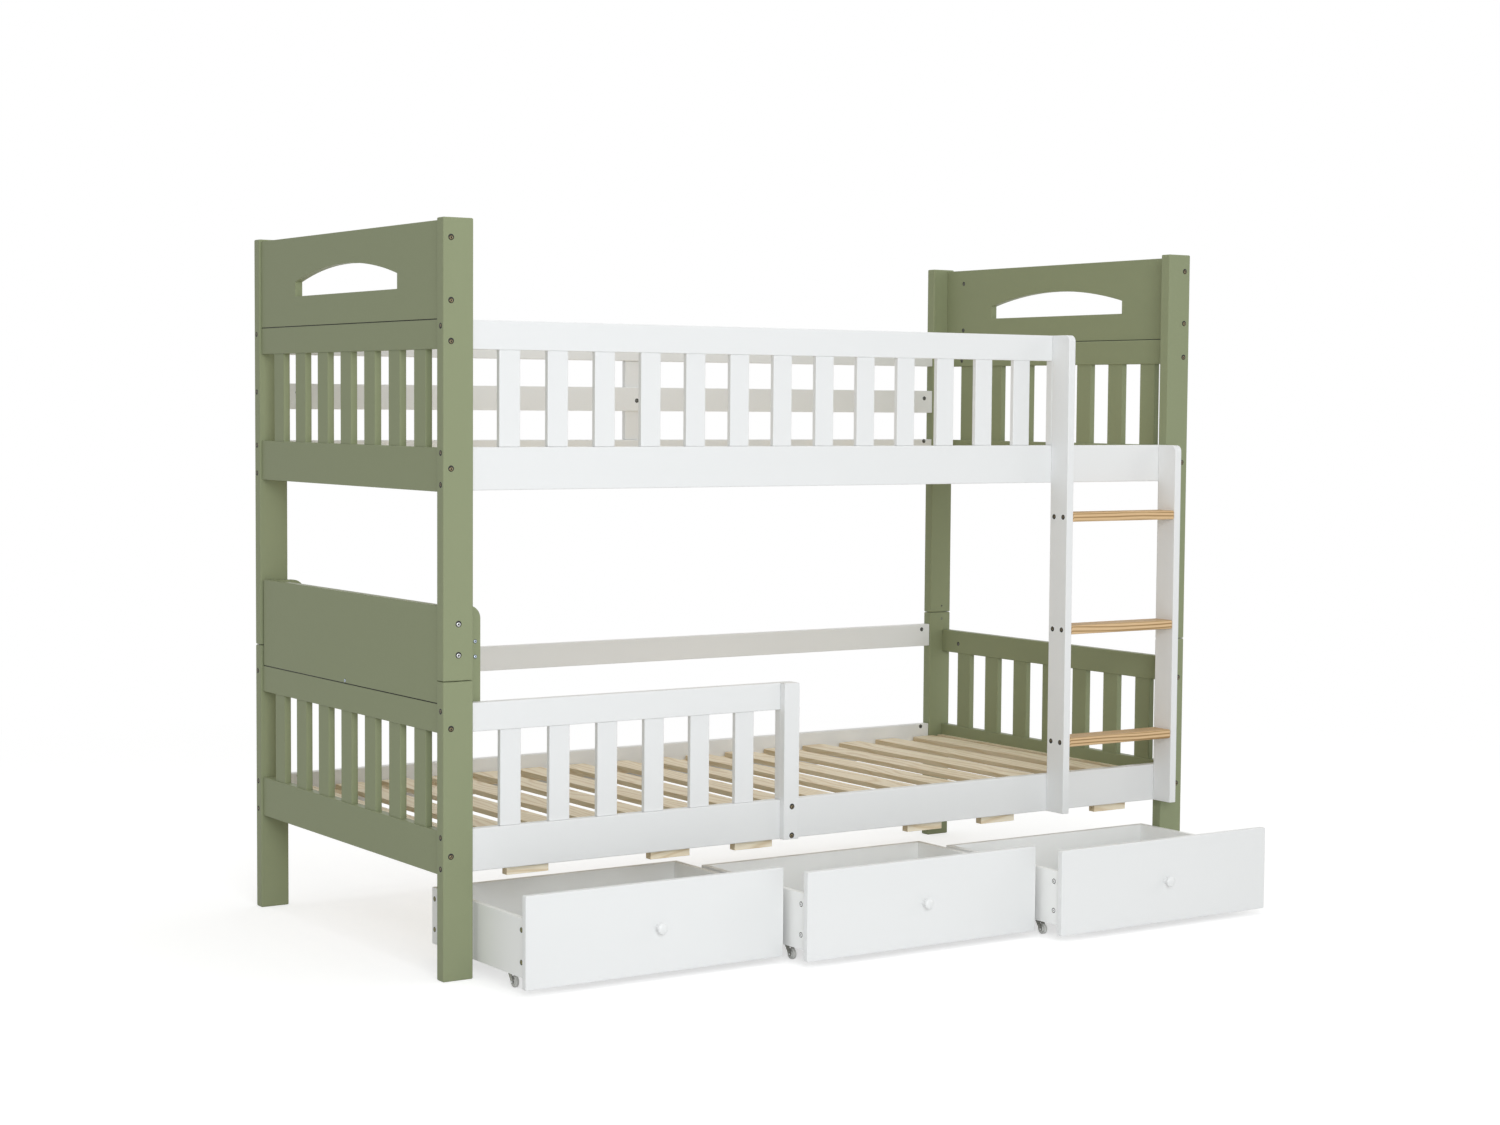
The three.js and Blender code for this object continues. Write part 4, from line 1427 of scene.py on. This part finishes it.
@dataclass
class Drawer:
    """One drawer: front, box, bottom with castors, knob and wheels."""

    finishes: Finishes
    number: int
    front_corner: float = 3.0 * MM
    ease: float = 2.0 * MM
    wall: float = 12.0 * MM
    wall_ease: float = 1.0 * MM
    bottom_thick: float = 9.0 * MM
    knob_radius: float = 12.0 * MM
    knob_length: float = 21.0 * MM
    knob_steps: int = 12
    sides: int = 40

    def name(self, piece: str) -> str:
        """Returns the name of one of the drawer's nodes."""
        return f"drawer_{self.number}_{piece}"

    @property
    def body(self) -> str:
        """The body that the drawer's fixed pieces ride on."""
        return f"drawer_{self.number}"

    def build(self) -> None:
        """Makes the drawer's pieces."""
        white, radii = self.finishes.white[Axis.X], (self.front_corner,) * 4
        front = RoundedBoard(Axis.Y, radii, white, self.ease, Slot.WHITE, self.body, 4)
        front.build(self.name("front"))
        self.box()
        self.bottom()
        self.knob()
        for place in CORNERS:
            self.wheel(place)

    def box(self) -> None:
        """Makes the four walls."""
        node, wall, paint = self.name("box"), self.wall, self.finishes.box
        low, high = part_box(node)
        shells = Shells(node + "_walls")
        for x in (low.x, high.x - wall):
            end = Vector((x + wall, high.y, high.z))
            shells.block(Vector((x, low.y, low.z)), end, paint[Axis.Y])
        for y in (low.y, high.y - wall):
            end = Vector((high.x - wall, y + wall, high.z))
            shells.block(Vector((low.x + wall, y, low.z)), end, paint[Axis.X])
        shells.piece(self.wall_ease, self.body, Slot.WHITE, [node])

    def bottom(self) -> None:
        """Makes the bottom panel and the four castors under it."""
        node = self.name("bottom")
        low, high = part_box(self.name("box"))
        inset = Vector((self.wall, self.wall, 0))
        top = Vector((high.x, high.y, low.z + self.bottom_thick))
        shells = Shells(node + "_panel")
        shells.block(low + inset, top - inset, self.finishes.box[Axis.X])
        shells.piece(0, self.body, Slot.WHITE, [node])
        for place in CORNERS:
            wheel_low, wheel_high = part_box(self.name(place + "_wheel"))
            castor = Castor(self.finishes, (wheel_low + wheel_high) / 2, low.z)
            castor.build(self.name(place + "_castor"), self.body)

    def knob(self) -> None:
        """Turns the knob: a waisted neck, and a crown from its shoulder to its tip."""
        node = self.name("knob")
        low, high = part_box(node)
        centre = Vector(((low.x + high.x) / 2, high.y, (low.z + high.z) / 2))
        r, length = self.knob_radius, self.knob_length
        neck = [(0.0, 0.0), (0.0, 0.66), (0.04, 0.68), (0.14, 0.55), (0.3, 0.5), (0.42, 0.6)]
        profile = [(along * length, radius * r) for along, radius in neck]
        for k in range(self.knob_steps):
            angle = math.radians(-50 + k * 140 / self.knob_steps)
            along = 0.72 * length + 0.28 * length * math.sin(angle)
            profile.append((along, r * math.cos(angle)))
        profile.append((length, 0.0))
        shells = Shells(node + "_turned")
        shells.lathe(profile, Axis.Y, centre, self.finishes.white[Axis.Y], self.sides, True)
        shells.piece(0, self.body, Slot.WHITE, [node])

    def wheel(self, place: str) -> None:
        """Turns one wheel: its tread with the web, and its hub.

        Args:
            place: which castor it belongs to.
        """
        node = self.name(place + "_wheel")
        low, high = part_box(node)
        r, half = (high.z - low.z) / 2, (high.x - low.x) / 2
        bore, hub = 0.19 * r, 0.44 * r
        tread = [(-0.45 * half, hub), (-0.55 * half, 0.78 * r), (-0.95 * half, 0.84 * r)]
        tread += [(-0.9 * half, 0.93 * r), (-0.6 * half, r)]
        core = [(-half, bore), (-half, 0.8 * hub), (-0.8 * half, hub)]
        shells = Shells(node + "_turned")
        for profile, material in ((tread, self.finishes.tread), (core, self.finishes.hub)):
            closed = [*mirrored(profile), profile[0]]
            shells.lathe(closed, Axis.X, (low + high) / 2, material, self.sides)
        shells.piece(0, f"{self.body}_wheel_{place}", Slot.WHEEL, [node])


@dataclass
class Castor:
    """A castor's fixed plate, swivel, fork and axle."""

    finishes: Finishes
    wheel: Vector
    plate_top: float
    trail: float = 10.0 * MM
    plate_length: float = 36.0 * MM
    plate_width: float = 30.0 * MM
    plate_thick: float = 2.0 * MM
    plate_corner: float = 4.0 * MM
    race_radius: float = 9.0 * MM
    race_height: float = 4.0 * MM
    cheek_gap: float = 5.5 * MM
    sheet: float = 1.5 * MM
    foot_radius: float = 5.0 * MM
    foot_steps: int = 9
    axle_radius: float = 2.0 * MM
    axle_end: float = 1.0 * MM
    ease: float = 0.4 * MM
    race_sides: int = 24
    axle_sides: int = 20

    def build(self, name: str, body: str) -> None:
        """Makes the castor body.

        Args:
            name: the piece's name.
            body: the body that it rides on.
        """
        shells = Shells(name)
        steel = self.finishes.stamped
        x, y = self.wheel.x, self.wheel.y + self.trail
        foot = self.plate_top - self.plate_thick
        u, v = self.plate_width / 2, self.plate_length / 2
        radii = (self.plate_corner,) * 4
        outline = outline_with_corners((x - u, y - v), (x + u, y + v), radii, 4)
        shells.prism(outline, Axis.Z, foot, self.plate_top, steel)
        race, r = self.race_height, self.race_radius
        profile = [(0.0, 0.0), (0.0, r * 1.15), (0.35 * race, r * 1.2), (0.5 * race, r)]
        profile += [(0.65 * race, r * 1.1), (race, r), (race, 0.0)]
        shells.lathe(profile, Axis.Z, Vector((x, y, foot)), steel, self.race_sides, True)
        crown_top = foot - race
        side = self.cheek_gap + self.sheet
        crown_low = Vector((x - side, y - r, crown_top - self.sheet))
        shells.block(crown_low, Vector((x + side, y + r, crown_top)), steel)
        cheek = self._cheek(y, crown_top)
        for start in (x - side, x + self.cheek_gap):
            shells.prism(cheek, Axis.X, start, start + self.sheet, steel)
        reach = side + self.axle_end
        a, head = self.axle_radius, 1.35 * self.axle_radius
        axle = [(-reach, 0.0), (-reach, 0.9 * a), (-reach + 0.4 * self.axle_end, head)]
        axle += [(-side, head), (-side, a)]
        silver = self.finishes.silver
        shells.lathe(mirrored(axle), Axis.X, self.wheel, silver, self.axle_sides)
        shells.piece(self.ease, body, segments=2)

    def _cheek(self, y: float, crown_top: float) -> list[Point]:
        """Draws one cheek of the fork: round below the axle, and up to the crown.

        Args:
            y: of the swivel axis.
            crown_top: height of the fork's crown.

        Returns:
            Its outline as (y, z), anticlockwise.
        """
        r = self.foot_radius
        outline = []
        for k in range(self.foot_steps + 1):
            angle = math.pi * (1.0 + 0.85 * k / self.foot_steps)
            outline.append((self.wheel.y + r * math.cos(angle), self.wheel.z + r * math.sin(angle)))
        half = self.race_radius - self.sheet
        top = crown_top - self.sheet / 2
        return outline + [(y + half, top), (y - half, top)]


class Kind(Enum):
    """A kind of fastener, as its pieces are named."""

    BOLT = "bolt"
    DEEP_BOLT = "deep_bolt"
    NICKEL_BOLT = "nickel_bolt"
    BARREL_NUT = "barrel_nut"
    ZINC_SCREW = "zinc_screw"
    PIN = "pin"
    SIDE_SCREW = "side_screw"
    BRASS_SCREW = "brass_screw"


@dataclass(frozen=True)
class Head:
    """Sizes in millimetres of a fastener's head and its hole, and their finishes; the shade finish
    is painted shade on the hole's rim and in the socket.
    """

    hole: float
    radius: float
    crown: float
    height: float
    socket: float
    sides: int
    drop: float
    material: Finish
    shade: Finish
    lip: float = 0.2
    bite: float = 0.7

    def values(self) -> dict[str, object]:
        """Puts the sizes and finishes together for the recipe.

        Returns:
            Its named inputs.
        """
        return {
            "Hole radius": self.hole * MM,
            "Hole lip": self.lip * MM,
            "Head radius": self.radius * MM,
            "Head height": self.height * MM,
            "Crown radius": self.crown * MM,
            "Socket radius": self.socket * MM,
            "Socket depth": self.bite * self.height * MM,
            "Socket sides": self.sides,
            "Drop": self.drop * MM,
            "Shade": self.shade,
            "Finish": self.material,
        }


@dataclass
class Fasteners:
    """The bolts and screws that hold the bed, set in by Geometry Nodes.

    Places are millimetres from the bed's corner.
    """

    finishes: Finishes
    recipe: Recipe
    layout: Layout
    face_inset: float = 18.0
    side_inset: float = 12.5
    end_heights: tuple[float, ...] = (1549.0, 1420.0, 1336.0, 1073.0, 532.0, 264.0)
    side_heights: tuple[float, ...] = (1367.0, 1105.0, 1039.0, 303.0, 237.0)
    lower_guard_height: float = 568.0
    middle_rail_height: float = 1231.0
    batten_x: float = 874.0
    batten_heights: tuple[float, ...] = (302.0, 236.0)
    rung_heights: tuple[float, ...] = (400.0, 673.0, 945.0)
    rung_depths: tuple[float, ...] = (-42.5, -9.5)
    bracket_bolt_x: float = 35.5
    bracket_bolts: tuple[float, ...] = (750.0, 685.0)
    bracket_screw_x: float = 90.0
    bracket_screws: tuple[float, ...] = (709.0, 677.0)
    nut_inset: float = 98.0
    nut_heights: tuple[float, ...] = (584.0, 310.0, 1231.0, 1112.0)
    stile_nut: Point = (1044.0, 1218.0)
    end_nut_y: float = 877.0
    end_nuts: tuple[tuple[str, float, float], ...] = (
        ("arch_board", 1549.0, 1420.0),
        ("upper_end_panel", 1336.0, 1073.0),
        ("lower_end_panel", 546.0, 264.0),
    )
    headboard_screw: Point = (490.0, 588.0)
    pin_inset: float = 30.0
    pin_heights: tuple[float, ...] = (648.0, 612.0)
    drawer_heights: tuple[float, ...] = (135.0, 68.0)
    drawer_insets: tuple[float, ...] = (12.0, 15.5, 18.0)

    def heads(self) -> dict[Kind, Head]:
        """Sizes the head of each kind of fastener.

        Returns:
            The heads by kind.
        """
        f = self.finishes
        # The last finish of each head is painted shade, for its hole's rim and its socket.
        return {
            Kind.BOLT: Head(6.6, 4.9, 3.6, 1.3, 2.0, 6, 1.1, f.bronze, f.painted_shade),
            Kind.DEEP_BOLT: Head(6.2, 3.4, 2.6, 0.6, 1.6, 6, -0.6, f.bronze, f.painted_shade),
            Kind.NICKEL_BOLT: Head(6.9, 5.5, 3.8, 1.3, 2.2, 6, 1.0, f.silver, f.painted_shade),
            Kind.BARREL_NUT: Head(5.6, 3.6, 3.2, 0.4, 2.6, 4, 0.6, f.stamped, f.painted_shade),
            Kind.ZINC_SCREW: Head(4.4, 4.0, 3.0, 0.9, 1.5, 4, 0.0, f.zinc, f.painted_shade),
            Kind.PIN: Head(2.6, 1.4, 1.0, 0.4, 0.5, 6, 0.3, f.stamped, f.painted_shade),
            Kind.SIDE_SCREW: Head(5.9, 4.6, 3.5, 0.6, 1.9, 4, 0.0, f.box[Axis.X], f.painted_shade),
            Kind.BRASS_SCREW: Head(5.8, 4.7, 3.6, 0.7, 1.6, 4, 0.0, f.brass, f.painted_shade),
        }

    def bolts(self) -> Places:
        """Works out where the bolts with flat heads sit.

        Returns:
            Pairs of a place and the way that the head faces.
        """
        at, length, width = self.layout.at, self.layout.length, self.layout.width
        places: Places = []
        for z in self.end_heights:
            for x in (self.face_inset, length - self.face_inset):
                places += [(at(x, 0, z), FRONT), (at(x, width, z), BACK)]
        face = self.layout.box("lower_guard_batten")[0].y
        return places + [(at(self.batten_x, face, z), FRONT) for z in self.batten_heights]

    def deep_bolts(self) -> Places:
        """Works out where the bolts that sit deep in the ends and stiles are.

        Returns:
            Pairs of a place and the way that the head faces.
        """
        at, length, width = self.layout.at, self.layout.length, self.layout.width
        front, back = self.side_inset, width - self.side_inset
        places: Places = []
        for z in (*self.side_heights, self.lower_guard_height):
            places += [(at(0, y, z), LEFT) for y in (front, back)]
            places.append((at(length, back, z), RIGHT))
        places += [(at(length, front, z), RIGHT) for z in self.side_heights[1:]]
        for x, way in ((0, LEFT), (length, RIGHT)):
            places.append((at(x, back, self.middle_rail_height), way))
        left = self.layout.box("ladder_left_stile")[0].x
        right = self.layout.box("ladder_right_stile")[1].x
        for x, way in ((left, LEFT), (right, RIGHT)):
            places += [(at(x, y, z), way) for z in self.rung_heights for y in self.rung_depths]
        return places

    def nuts(self) -> Places:
        """Works out where the barrel nuts on the inner faces sit.

        Returns:
            Pairs of a place and the way that the head faces.
        """
        at, box = self.layout.at, self.layout.box
        face = box("upper_back_side_rail")[0].y
        places: Places = []
        for x in (self.nut_inset, self.layout.length - self.nut_inset):
            places += [(at(x, face, z), FRONT) for z in self.nut_heights]
        x, z = self.stile_nut
        places.append((at(x, face, z), FRONT))
        for board, *heights in self.end_nuts:
            left, right = box(f"left_{board}")[1].x, box(f"right_{board}")[0].x
            for z in heights:
                for x, way in ((left, RIGHT), (right, LEFT)):
                    places.append((at(x, self.end_nut_y, z), way))
        return places

    def frame_places(self) -> dict[Kind, Places]:
        """Works out where each kind sits on the frame.

        Returns:
            For each kind, pairs of a place and the way that the head faces.
        """
        at, box, width = self.layout.at, self.layout.box, self.layout.width
        nickel, zinc, pins = [], [], []
        for y, way in ((0, FRONT), (width, BACK)):
            nickel += [(at(self.bracket_bolt_x, y, z), way) for z in self.bracket_bolts]
        for y, way in ((box("front_bracket")[0].y, FRONT), (box("back_bracket")[1].y, BACK)):
            zinc += [(at(self.bracket_screw_x, y, z), way) for z in self.bracket_screws]
        zinc.append((at(box("headboard_panel")[0].x, *self.headboard_screw), LEFT))
        post_face = box("back_left_lower_post")[0].y
        for x in (self.pin_inset, self.layout.length - self.pin_inset):
            pins += [(at(x, post_face, z), FRONT) for z in self.pin_heights]
        return {
            Kind.BOLT: self.bolts(),
            Kind.DEEP_BOLT: self.deep_bolts(),
            Kind.NICKEL_BOLT: nickel,
            Kind.BARREL_NUT: self.nuts(),
            Kind.ZINC_SCREW: zinc,
            Kind.PIN: pins,
        }

    def drawer_places(self, number: int) -> Places:
        """Works out where the screws of a drawer's corners sit.

        Args:
            number: which drawer.

        Returns:
            Pairs of a place and the way that the head faces.
        """
        low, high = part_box(f"drawer_{number}_box")
        inset = self.drawer_insets[number - 1] * MM
        places: Places = []
        for x, way in ((low.x, LEFT), (high.x, RIGHT)):
            for y in (low.y + inset, high.y - inset):
                places += [(Vector((x, y, z * MM)), way) for z in self.drawer_heights]
        return places

    def build(self) -> None:
        """Makes one piece of each kind on each body."""
        heads = self.heads()
        for kind, places in self.frame_places().items():
            self.set_in(f"frame_{kind.value}_heads", heads[kind], places, FRAME)
        for number, kind in ((1, Kind.BRASS_SCREW), (2, Kind.SIDE_SCREW), (3, Kind.SIDE_SCREW)):
            body = f"drawer_{number}"
            self.set_in(f"{body}_screw_heads", heads[kind], self.drawer_places(number), body)

    def set_in(self, name: str, head: Head, places: Places, body: str) -> None:
        """Makes the heads of one kind on one body, from a mesh with a vertex at each place.

        Args:
            name: the piece's name.
            head: its sizes and finish.
            places: where they sit and the way that they face.
            body: the body that they ride on.
        """
        data = bpy.data.meshes.new(name + "_places")
        data.from_pydata([tuple(place) for place, _ in places], [], [])
        facing = data.attributes.new(FACING, "FLOAT_VECTOR", "POINT")
        facing.data.foreach_set("vector", [c for _, way in places for c in way])
        settle(self.recipe.make(name, data, head.values()), body, None, [])


@dataclass(frozen=True)
class SoftBox:
    """A square lamp that faces the bed."""

    name: str
    way: tuple[float, float, float]
    distance: float
    size: float
    power: float
    colour: Colour = (1.0, 1.0, 1.0)

    def build(self, target: Vector) -> None:
        """Hangs the lamp.

        Args:
            target: the point that it faces.
        """
        data = bpy.data.lights.new(self.name, "AREA")
        data.shape = "SQUARE"
        data.size = self.size
        data.energy = self.power
        data.color = self.colour
        way = Vector(self.way).normalized()
        lamp = linked(self.name, data)
        lamp.location = target + way * self.distance
        lamp.rotation_euler = (-way).to_track_quat("-Z", "Y").to_euler()


@dataclass
class Studio:
    """Camera, lamps, floor and backdrop."""

    position: tuple[float, float, float] = (-3.469, -5.062, 1.208)
    yaw: float = math.radians(33.788)
    pitch: float = math.radians(-3.49)
    roll: float = math.radians(0.421)
    focal_px: float = 2576.7
    image_width_px: float = 1500.0
    sensor: float = 36.0
    centre: tuple[float, float, float] = (0.0, 0.1, 0.8)
    boxes: tuple[SoftBox, ...] = (
        SoftBox("front_box", (-0.36, -0.83, 0.22), 7.0, 2.8, 182.0, (0.97, 1.0, 1.04)),
        SoftBox("right_box", (0.85, -0.45, 0.28), 9.0, 3.0, 66.0),
        SoftBox("top_box", (0.0, 0.0, 1.0), 6.0, 4.0, 100.0),
    )
    sky: float = 0.49
    sky_colour: Colour = (1.0, 1.0, 0.98)
    floor_bounce: float = 0.85
    floor_shown: float = 0.6
    floor_glow: float = 0.6
    floor_clear: Point = (2.2, 4.2)
    floor_reach: float = 20.0

    def build(self) -> None:
        """Makes the whole studio."""
        self.camera()
        for box in self.boxes:
            box.build(Vector(self.centre))
        self.world()
        self.floor()
        bpy.context.scene.view_settings.view_transform = "Standard"

    def camera(self) -> None:
        """Sets the camera at the photograph's viewpoint."""
        data = bpy.data.cameras.new("camera")
        data.sensor_width = self.sensor
        data.sensor_fit = "HORIZONTAL"
        data.lens = self.sensor * self.focal_px / self.image_width_px
        level = Vector((math.cos(self.yaw), -math.sin(self.yaw), 0.0))
        ahead = Vector((math.sin(self.yaw), math.cos(self.yaw), 0.0)) * math.cos(self.pitch)
        forward = ahead + Vector((0.0, 0.0, math.sin(self.pitch)))
        up = level.cross(forward)
        right = math.cos(self.roll) * level + math.sin(self.roll) * up
        above = math.cos(self.roll) * up - math.sin(self.roll) * level
        turn = Matrix((right, above, -forward)).transposed().to_4x4()
        camera = linked("camera", data)
        camera.matrix_world = Matrix.Translation(self.position) @ turn
        bpy.context.scene.camera = camera

    @staticmethod
    def seen(bench: Bench) -> Expr:
        """Tells what is seen from what only gives light.

        Args:
            bench: the tree that needs it.

        Returns:
            1 for rays from the camera, a mirror or glass, and 0 for light.
        """
        ray = bench.node("ShaderNodeLightPath")
        kinds = ("Is Camera Ray", "Is Glossy Ray", "Is Transmission Ray")
        first, second, third = (Expr(bench, ray.outputs[kind]) for kind in kinds)
        return (first + second + third).clamp()

    def world(self) -> None:
        """Makes the world: soft light all round, and white where it is seen."""
        world = bpy.data.worlds.new("studio")
        bpy.context.scene.world = world
        world.use_nodes = True
        bench = Bench(world.node_tree)
        seen = self.seen(bench)
        colour = bench.mix(seen, self.sky_colour, (1.0, 1.0, 1.0))
        values = {0: colour, 1: seen * (1.0 - self.sky) + self.sky}
        white = bench.out("ShaderNodeBackground", None, values)
        bench.node("ShaderNodeOutputWorld", None, {0: white})

    def floor(self) -> None:
        """Lays a wide pale floor that turns plain white away from the bed."""
        bench = ShaderBench("floor")
        seen = self.seen(bench)
        away = bench.node("ShaderNodeVectorMath", {"operation": "LENGTH"}, {0: bench.place()})
        near, far = self.floor_clear
        blank = ((bench.number(away, "Value") - near) * (1.0 / (far - near))).clamp() * seen
        colour = bench.mix(seen, (self.floor_bounce,) * 3, (self.floor_shown,) * 3)
        matt = bench.out("ShaderNodeBsdfDiffuse", None, {"Color": colour})
        glow = bench.out("ShaderNodeEmission", None, {1: seen * self.floor_glow})
        both = bench.out("ShaderNodeAddShader", None, {0: matt, 1: glow})
        white = bench.out("ShaderNodeEmission", None, {1: 1.0})
        mixed = bench.out("ShaderNodeMixShader", None, {0: blank, 1: both, 2: white})
        bench.node("ShaderNodeOutputMaterial", None, {0: mixed})
        data = bpy.data.meshes.new("floor")
        reach = self.floor_reach
        corners = [(-reach, -reach, 0), (reach, -reach, 0), (reach, reach, 0), (-reach, reach, 0)]
        data.from_pydata(corners, [], [(0, 1, 2, 3)])
        data.materials.append(bench.material)
        linked("floor", data)


def main() -> None:
    """Dresses the frame."""
    logging.basicConfig(level=logging.INFO, format="%(name)s: %(message)s")
    bpy.ops.wm.read_factory_settings(use_empty=True)
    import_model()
    finishes = Finishes()
    slats = slat_recipe()
    layout = Layout()
    Studio().build()
    Posts(finishes).build()
    EndPanels(finishes, slats).build()
    Sides(finishes, slats).build()
    Ladder(finishes).build()
    SlatBases(finishes, slats, layout).build()
    for number in (1, 2, 3):
        Drawer(finishes, number).build()
    Fasteners(finishes, fastener_recipe(), layout).build()


if __name__ == "__main__":
    main()
